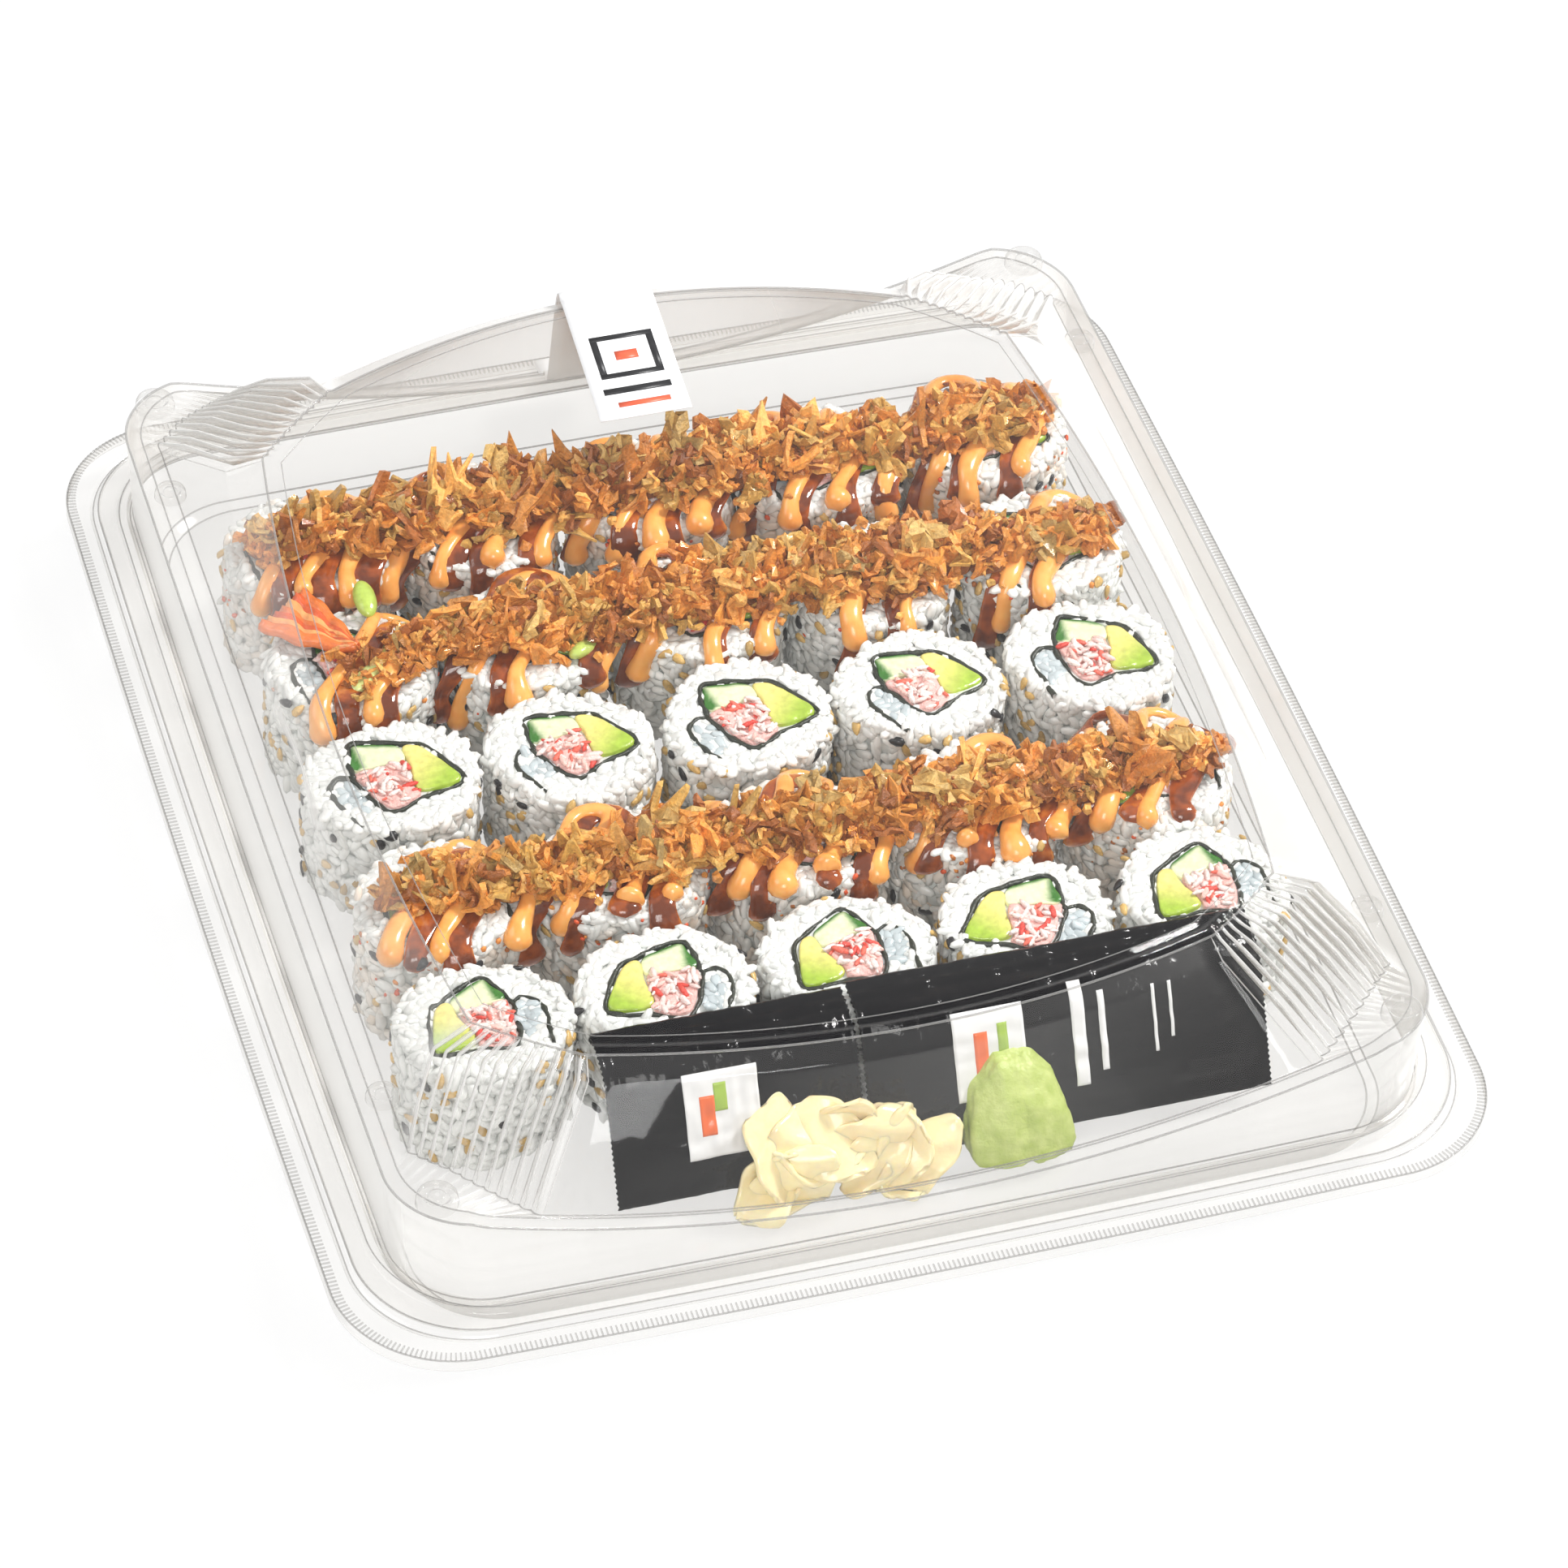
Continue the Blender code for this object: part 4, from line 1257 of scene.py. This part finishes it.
def build_specks():
    """Orange spice specks on the rice of rows 1 and 4."""
    heap = Heap()
    speck = ellipsoid(5, 3)
    for row in (1, 4, 2):
        for column in COLUMNS:
            source = np.random.default_rng(700 + row * 10 + column)
            count = 70 if row != 2 else 16
            angle = source.uniform(0, 2 * np.pi, count)
            z = ROLL_TOP - np.abs(source.normal(0, 8 * MM, count)) - 1.0 * MM
            z = np.maximum(z, FLOOR_Z + 3 * MM)
            places, normals = side_point(row, column, angle, z, 0.985)
            frames = grain_frames(normals, source)
            frames *= source.uniform(0.12, 0.34, (count, 1, 1))
            frames[:, 1:] *= 1.7
            shades = np.array([(0.75, 0.10, 0.02), (0.80, 0.28, 0.05), (0.45, 0.14, 0.02)])
            heap.scatter(speck, places, frames, shades[source.integers(0, 3, count)])
    made = tone(new_material("spice", (0.7, 0.2, 0.05), 0.4), 1800.0)
    heap.finish("spice_specks", made, "rice")


def build_shrimp_tail():
    """Ridged orange tail fan on the left end of row 2."""
    centre = middle_of("shrimp_tail")[0]
    turn = math.radians(-56.0)
    heap = Heap()
    u = np.linspace(0, 1, 22)[None, :]
    v = np.linspace(-1, 1, 9)[:, None]
    for blade in range(-3, 4):
        width = 2.1 * MM * np.sin(np.pi * np.clip(u * 0.82 + 0.14, 0, 1)) ** 0.7
        x = -11.5 * MM + 22.0 * MM * u + 0 * v
        y = v * width + (1 - u) * blade * 2.1 * MM + blade * 0.13 * MM
        z = 1.2 * MM + 1.6 * MM * (1 - v ** 2) + 0.35 * MM * np.cos(v * 9) + 2.2 * MM * u ** 2
        z = z + 0.5 * MM * np.sin(u * 17 + blade)
        z = z + 0.3 * MM * abs(blade) * (1 - u)
        grid = centre + np.stack([*turn_xy(x, y, turn), z], axis=2)
        shade = ((0.84, 0.20, 0.035), (0.90, 0.40, 0.13), (0.72, 0.11, 0.02))[blade % 3]
        heap.add(*closed_sheet(grid, 0.5 * MM), shade)
    shell = tone(new_material("shrimp_shell", (0.85, 0.3, 0.08), 0.25, Coat_Weight=0.5), 500.0)
    bump(shell, 900.0, 0.0004, 0.6)
    heap.finish("shrimp_tail_fan", shell, "shrimp_tail", ["shrimp_tail"])


# ---------------------------------------------------------------- garnish and pack trim

SACHET_ROWS, SACHET_COLUMNS = 64, 120

def build_ginger():
    """Thin crumpled slices of pickled ginger heaped against the sachets."""
    low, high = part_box("pickled_ginger")
    heap = Heap()
    source = np.random.default_rng(21)
    slices, rows, columns = 12, 16, 26
    u = np.linspace(-1, 1, columns)[None, :]
    v = np.linspace(-1, 1, rows)[:, None]
    for index in range(slices):
        long_half = source.uniform(9.0, 13.5) * MM
        wide_half = source.uniform(6.0, 9.5) * MM
        x = u * long_half * (1 - 0.25 * v ** 2)
        y = v * wide_half * np.sqrt(np.clip(1 - 0.8 * np.abs(u) ** 2.2, 0.03, 1))
        y = y + 0.5 * MM * np.sin(5 * u + source.uniform(0, 6)) * np.abs(v)
        fold = source.uniform(1.8, 3.3)
        z = source.uniform(1.4, 2.6) * MM * np.sin(fold * u + 0.8 * v + source.uniform(0, 6))
        z = z + source.uniform(0.8, 1.6) * MM * np.sin(2.6 * v + 1.9 * u + source.uniform(0, 6))
        z = z + 0.16 * MM * np.sin(11 * u + 5 * v + source.uniform(0, 6))
        grid = np.stack([x + 0 * v, y + 0 * u, z + 0 * u + 0 * v], axis=2)
        t = index / (slices - 1)
        place_x = low[0] + 2 * MM + (high[0] - low[0] - 14 * MM) * ((index * 0.618 + 0.2) % 1.0)
        layer = 0.05 + 0.85 * ((index * 0.37) % 1.0)
        tallest = high[2] - low[2] - 4 * MM * (1 + 2 * abs(place_x + 9 * MM) / (25 * MM))
        centre_z = low[2] + 4.5 * MM + (tallest - 1.0 * MM) * layer
        centre = (place_x, sachet_front(centre_z) - 2.6 * MM - 2.4 * MM * (1 - layer), centre_z)
        turn = Matrix.Rotation(math.radians(58 - 26 * t + source.uniform(-24, 24)), 4, "X")
        turn = Matrix.Rotation(math.radians(source.uniform(-30, 30)), 4, "Y") @ turn
        turn = turn @ Matrix.Rotation(math.radians(source.uniform(-80, 80)), 4, "Z")
        flat = grid.reshape(-1, 3) @ np.array(turn.to_3x3()).T + centre
        flat[:, 2] = np.maximum(flat[:, 2], low[2] + 0.6 * MM)
        flat[:, 1] = np.minimum(flat[:, 1], sachet_front(flat[:, 2]) - 0.5 * MM)
        shade = np.array((0.98, 0.81, 0.48)) * source.uniform(0.95, 1.03)
        heap.add(*closed_sheet(flat.reshape(rows, columns, 3), 1.0 * MM), np.clip(shade, 0, 1))
    slice_look = new_material("ginger_slices", (0.97, 0.84, 0.46), 0.24, Subsurface_Weight=0.6,
                              Subsurface_Radius=(0.005, 0.004, 0.002), Coat_Weight=0.4)
    tone(slice_look, 300.0, 0.93, 1.05)
    bump(slice_look, 420.0, 0.0005, 0.35)
    heap.finish("ginger_slices", slice_look, "ginger", ["pickled_ginger"])


def sachet_front(z):
    """The y of the sachets' front surface at a height."""
    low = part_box("sachet_left")[0]
    return low[1] + 1.2 * MM + (z - low[2]) * 0.52


def build_wasabi():
    """A pressed lump of wasabi with soft facets and a crease."""
    centre, low, high = middle_of("wasabi")
    half_wide, half_deep = (high[0] - low[0]) / 2, 8.0 * MM
    verts, faces = ellipsoid(56, 40)
    verts = verts[:, (1, 2, 0)]
    facets = [Vector(v).normalized() for v in
              [(0.95, -0.5, 0.35), (-0.9, -0.7, 0.4), (0.15, -1, 0.55), (0.1, -0.3, 1),
               (0.75, -0.1, 0.8), (-0.75, 0.0, 0.75), (0.45, -1, -0.15), (-0.4, -1, -0.1),
               (0.6, -0.8, 0.5)]]
    out = []
    for x, y, z in verts:
        direction = Vector((x, y, z)).normalized()
        boxy = (abs(x) ** 5 + abs(y) ** 5 + abs(z) ** 5) ** -0.2
        cut = min(1.04 / max(direction.dot(facet), 1e-3) for facet in facets)
        grow = min(boxy, cut) * 0.94
        grow += 0.05 * noise.noise(direction * 3.1) + 0.03 * noise.noise(direction * 8.0)
        grow -= 0.09 * math.exp(-((x - 0.12 - 0.1 * z) / 0.05) ** 2) * (y < 0)
        level = (z * grow + 1) / 2
        height = 1.5 * MM + 20.0 * MM * level
        narrow = 1.20 - 0.52 * level
        face = sachet_front(height + centre[2])
        deep = half_deep * (1.0 - 0.3 * level) * y * grow
        out.append((centre[0] - 0.5 * MM + half_wide * narrow * x * grow,
                    min(face - 1.6 * MM + deep, face + 0.6 * MM), centre[2] + height))
    out = np.array(out)
    paste = new_material("wasabi_paste", (0.45, 0.60, 0.14), 0.40, Subsurface_Weight=0.15,
                         Subsurface_Radius=(0.002, 0.002, 0.001))
    mottle(paste, 300.0, [(0.3, (0.39, 0.49, 0.095)), (0.7, (0.56, 0.64, 0.21))], 4.0)
    bump(paste, 1400.0, 0.0004, 0.6, 4.0)
    make_piece("wasabi_lump", out, faces[:, ::-1], paste, "wasabi", ["wasabi"])


def sachet_line(start_y, start_z, lean, length, steps):
    """(y, z, normal y, normal z) down a sachet from its top edge."""
    line = []
    y, z = start_y, start_z
    for index in range(steps + 1):
        t = index / steps
        bend = min(1.0, max(0.0, (t - 0.12) / 0.28))
        angle = math.radians(8) + (lean - math.radians(8)) * bend * bend * (3 - 2 * bend)
        line.append((y, z, -math.sin(angle), math.cos(angle)))
        y -= math.cos(angle) * length / steps
        z -= math.sin(angle) * length / steps
    return np.array(line)


def sachet_surface(low_x, high_x, line, columns, seed):
    """Upper and lower grids of a sachet with crimped ends, wrinkles and a filled middle."""
    rows = len(line)
    u = np.linspace(0, 1, columns)[:, None]
    v = np.linspace(0, 1, rows)[None, :]
    side = np.clip(np.minimum(u, 1 - u) * (high_x - low_x) / (6 * MM) - 0.6, 0, 1)
    end = np.clip(np.minimum(v / 0.17, (1 - v) / 0.12) - 1.0, 0, 1)
    half = 0.22 * MM + 1.35 * MM * np.sqrt(np.clip(side * end, 0, 1))
    crimp = 0.34 * MM * np.sin(v * (rows - 1) * 1.30) * (v < 0.17)
    crimp = crimp + 0.12 * MM * np.sin(u * (columns - 1) * 1.5) * (side < 0.05) * (v >= 0.17)
    wrinkle = np.zeros((columns, rows))
    for a in range(columns):
        for b in range(rows):
            wrinkle[a, b] = noise.noise(Vector((a * 0.10 + seed, b * 0.22, seed)))
            wrinkle[a, b] += 0.5 * noise.noise(Vector((a * 0.30, b * 0.12 + seed, 3.0)))
    wrinkle *= 0.55 * MM * np.clip(side + 0.15, 0, 1)
    x = low_x + (high_x - low_x) * u + 0 * v
    teeth = 0.38 * MM * (np.arange(rows) % 2)
    x[0] += teeth
    x[-1] -= teeth
    grids = []
    for sign in (1, -1):
        offset = sign * half + crimp + wrinkle * (0.7 if sign > 0 else 0.3)
        y = line[None, :, 0] + offset * line[None, :, 2]
        z = line[None, :, 1] + offset * line[None, :, 3]
        grids.append(np.stack([x, y, np.maximum(z, 1.4 * MM)], axis=2))
    return grids


def patch(grid, u0, u1, v0, v1, lift):
    """A printed field that lies on part of a surface grid."""
    columns, rows = grid.shape[:2]
    a0, b0 = int(u0 * (columns - 1)), int(v0 * (rows - 1))
    a1, b1 = max(a0 + 1, int(u1 * (columns - 1))), max(b0 + 1, int(v1 * (rows - 1)))
    area = np.s_[a0:a1 + 1, b0:b1 + 1]
    normal = unit(np.cross(np.gradient(grid, axis=0), np.gradient(grid, axis=1)))[area]
    normal *= np.sign(normal[..., 2:3] + 1e-9)
    return join_grids(grid[area] + normal * lift, grid[area] + normal * lift * 0.4)


def build_sachets():
    """Two black sachets with crimped seals and plain printed fields."""
    film = new_material("black_film", (0.0030, 0.0030, 0.0042), 0.15, Specular_IOR_Level=0.24)
    bump(film, 240.0, 0.0010, 0.5)
    ink = new_material("sachet_ink", (0.8, 0.8, 0.8), 0.25, Coat_Weight=0.4)
    tone(ink, 400.0, 0.97, 1.02)
    prints = Heap()
    white, orange, green = (0.80, 0.80, 0.80), (0.80, 0.16, 0.05), (0.35, 0.50, 0.08)
    for name, seed, lean, length in (("sachet_left", 1.7, 63.0, 40.0),
                                     ("sachet_right", 5.2, 62.0, 41.0)):
        low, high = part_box(name)
        line = sachet_line(high[1] - 0.1 * MM, high[2] - 0.6 * MM, math.radians(lean),
                           length * MM, SACHET_ROWS)
        top, under = sachet_surface(low[0], high[0], line, SACHET_COLUMNS, seed)
        make_piece(f"{name}_film", *join_grids(top, under), film, "sachet_film", [name])
        wide = high[0] - low[0]
        fields = [(0.30, 0.30 + 16 * MM / wide, 0.34, 0.80, white),
                  (0.36, 0.36 + 3.2 * MM / wide, 0.46, 0.68, orange),
                  (0.42, 0.42 + 2.4 * MM / wide, 0.40, 0.56, green)]
        if name == "sachet_right":
            fields = [(0.22, 0.40, 0.30, 0.78, white), (0.27, 0.31, 0.42, 0.66, orange),
                      (0.33, 0.36, 0.38, 0.54, green), (0.52, 0.55, 0.26, 0.80, white),
                      (0.58, 0.60, 0.32, 0.74, white), (0.72, 0.725, 0.34, 0.70, white),
                      (0.76, 0.765, 0.34, 0.64, white)]
        for *area, shade in fields:
            prints.add(*patch(top, *area, (0.05 if shade == white else 0.09) * MM), shade)
    prints.finish("sachet_prints", ink, "sachet_film")


def build_label():
    """The seal label: white paper with a plain printed frame and bars, never any text."""
    low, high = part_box("seal_label")
    top = high[2] - 0.25 * MM
    lip = SHELF_Z - LIP_DIP
    profile = smooth_path([(low[1], top), (100 * MM, top), (114 * MM, top),
                           (119 * MM, top - 0.3 * MM), (124 * MM, top - 3.1 * MM),
                           (132 * MM, lip + 1.6 * MM), (135.2 * MM, lip + 0.7 * MM),
                           (138.6 * MM, SEAT_Z + 2.5 * MM), (143.6 * MM, SEAT_Z + 0.9 * MM),
                           (147.2 * MM, RIM_Z + 0.9 * MM)], 5)
    half = 10.6 * MM

    def middle(y):
        return -6.9 * MM + 0.059 * y

    y, z = profile[:, :1], profile[:, 1:]
    across = np.linspace(-half, half, 7)[None, :]
    grid = np.stack([middle(y) + across, y + 0 * across, z + 0 * across], axis=2)
    paper = new_material("label_white", (0.86, 0.86, 0.87), 0.4)
    mottle(paper, 300.0, [(0.3, (0.88, 0.88, 0.885)), (0.7, (0.92, 0.92, 0.925))])
    bump(paper, 1500.0, 0.0001, 0.2)
    make_piece("label_sheet", *closed_sheet(grid, 0.18 * MM), paper, "label_paper",
               ["seal_label"])
    heap = Heap()
    ink, warm = (0.015, 0.015, 0.017), (0.78, 0.13, 0.06)
    for x0, x1, y0, y1, shade in (
            (-7.3, 7.3, 13.6, 15.2, ink), (-7.3, 7.3, 26.6, 28.2, ink),
            (-7.3, -5.7, 15.2, 26.6, ink), (5.7, 7.3, 15.2, 26.6, ink),
            (-2.6, 2.6, 19.4, 22.4, warm), (-7.8, 7.8, 8.2, 10.2, ink),
            (-5.4, 6.6, 3.6, 5.2, warm)):
        across, along = np.meshgrid(np.linspace(x0, x1, 3) * MM,
                                    np.linspace(y0, y1, 3) * MM + low[1])
        flat = np.stack([across + middle(along), along, np.full((3, 3), top + 0.16 * MM)], axis=2)
        heap.add(*closed_sheet(flat, 0.04 * MM), shade)
    printed = tone(new_material("label_ink", (0.1, 0.1, 0.1), 0.4), 500.0, 0.96, 1.04)
    heap.finish("label_print", printed, "label_paper")


# ---------------------------------------------------------------- stage

AIM = Vector((0.0048, -0.0103, 0.020))
DISTANCE = 1.483
AZIMUTH, ELEVATION, ROLL = math.radians(18.73), math.radians(43.76), math.radians(2.90)
LENS = 156.5


def build_camera():
    """Looks from the front left at the photographed height, with the same roll."""
    forward = Vector((math.sin(AZIMUTH) * math.cos(ELEVATION),
                      math.cos(AZIMUTH) * math.cos(ELEVATION), -math.sin(ELEVATION)))
    data = bpy.data.cameras.new("camera")
    data.lens = LENS
    data.sensor_width = 36.0
    data.clip_start = 0.01
    made = bpy.data.objects.new("camera", data)
    turn = forward.to_track_quat("-Z", "Y") @ Matrix.Rotation(ROLL, 4, "Z").to_quaternion()
    made.matrix_world = Matrix.Translation(AIM - forward * DISTANCE) @ turn.to_matrix().to_4x4()
    bpy.context.scene.collection.objects.link(made)
    bpy.context.scene.camera = made


def largest(made, *values):
    """The largest of several socket values."""
    result = values[0]
    for value in values[1:]:
        result = math_node(made, "MAXIMUM", result, value)
    return result


def build_world():
    """White to the camera and through the film, weaker as a light and in mirrors."""
    world = bpy.data.worlds.new("studio")
    bpy.context.scene.world = world
    world.use_nodes = True
    background = world.node_tree.nodes["Background"]
    background.inputs["Color"].default_value = (1, 1, 1, 1)
    path = add_node(world, "ShaderNodeLightPath").outputs
    seen = largest(world, math_node(world, "MULTIPLY", path["Is Glossy Ray"], 0.5),
                   path["Is Camera Ray"], path["Is Transmission Ray"])
    strength = map_range(world, seen, To_Min=0.45, To_Max=1.0)
    world.node_tree.links.new(strength, background.inputs["Strength"])


def build_floor():
    """A pale floor that keeps the shadow, and glows white where it is seen directly."""
    mesh = bpy.data.meshes.new("floor")
    reach = 6.0
    mesh.from_pydata([(-reach, -reach, 0), (reach, -reach, 0), (reach, reach, 0),
                      (-reach, reach, 0)], [], [(0, 1, 2, 3)])
    floor = bpy.data.objects.new("floor", mesh)
    floor.location.z = -0.0004
    bpy.context.scene.collection.objects.link(floor)
    made = new_material("floor", (0.88, 0.88, 0.87), 0.9, Specular_IOR_Level=0.0)
    glow = add_node(made, "ShaderNodeEmission", Color=(1, 1, 1, 1))
    path = add_node(made, "ShaderNodeLightPath").outputs
    seen = largest(made, path["Is Camera Ray"], path["Is Glossy Ray"], path["Is Transmission Ray"])
    mixed = mix_shaders(made, math_node(made, "MULTIPLY", seen, 0.86),
                        shader_of(made).outputs["BSDF"], glow.outputs["Emission"])
    made.node_tree.links.new(mixed, made.node_tree.nodes["Material Output"].inputs["Surface"])
    mesh.materials.append(made)


def build_stage():
    """Pale floor, white surroundings and soft studio light."""
    build_world()
    build_floor()
    scene = bpy.context.scene
    lamps = (("key", (0.85, 0.12, 1.05), 0.32, 20.0), ("fill", (-0.95, 0.1, 0.9), 0.8, 5.0),
             ("front", (-0.25, -1.1, 0.9), 0.6, 9.0))
    for name, place, size, power in lamps:
        data = bpy.data.lights.new(name, "AREA")
        data.shape = "SQUARE"
        data.size = size
        data.energy = power
        lamp = bpy.data.objects.new(name, data)
        lamp.location = place
        lamp.rotation_euler = (AIM - Vector(place)).to_track_quat("-Z", "Y").to_euler()
        scene.collection.objects.link(lamp)
    scene.view_settings.view_transform = "Standard"
    scene.cycles.transparent_max_bounces = 32


build_camera()
build_stage()
build_base()
build_lid()
build_rice()
build_fillings()
build_sesame()
build_sauces()
build_onions()
build_specks()
build_shrimp_tail()
build_ginger()
build_wasabi()
build_sachets()
build_label()
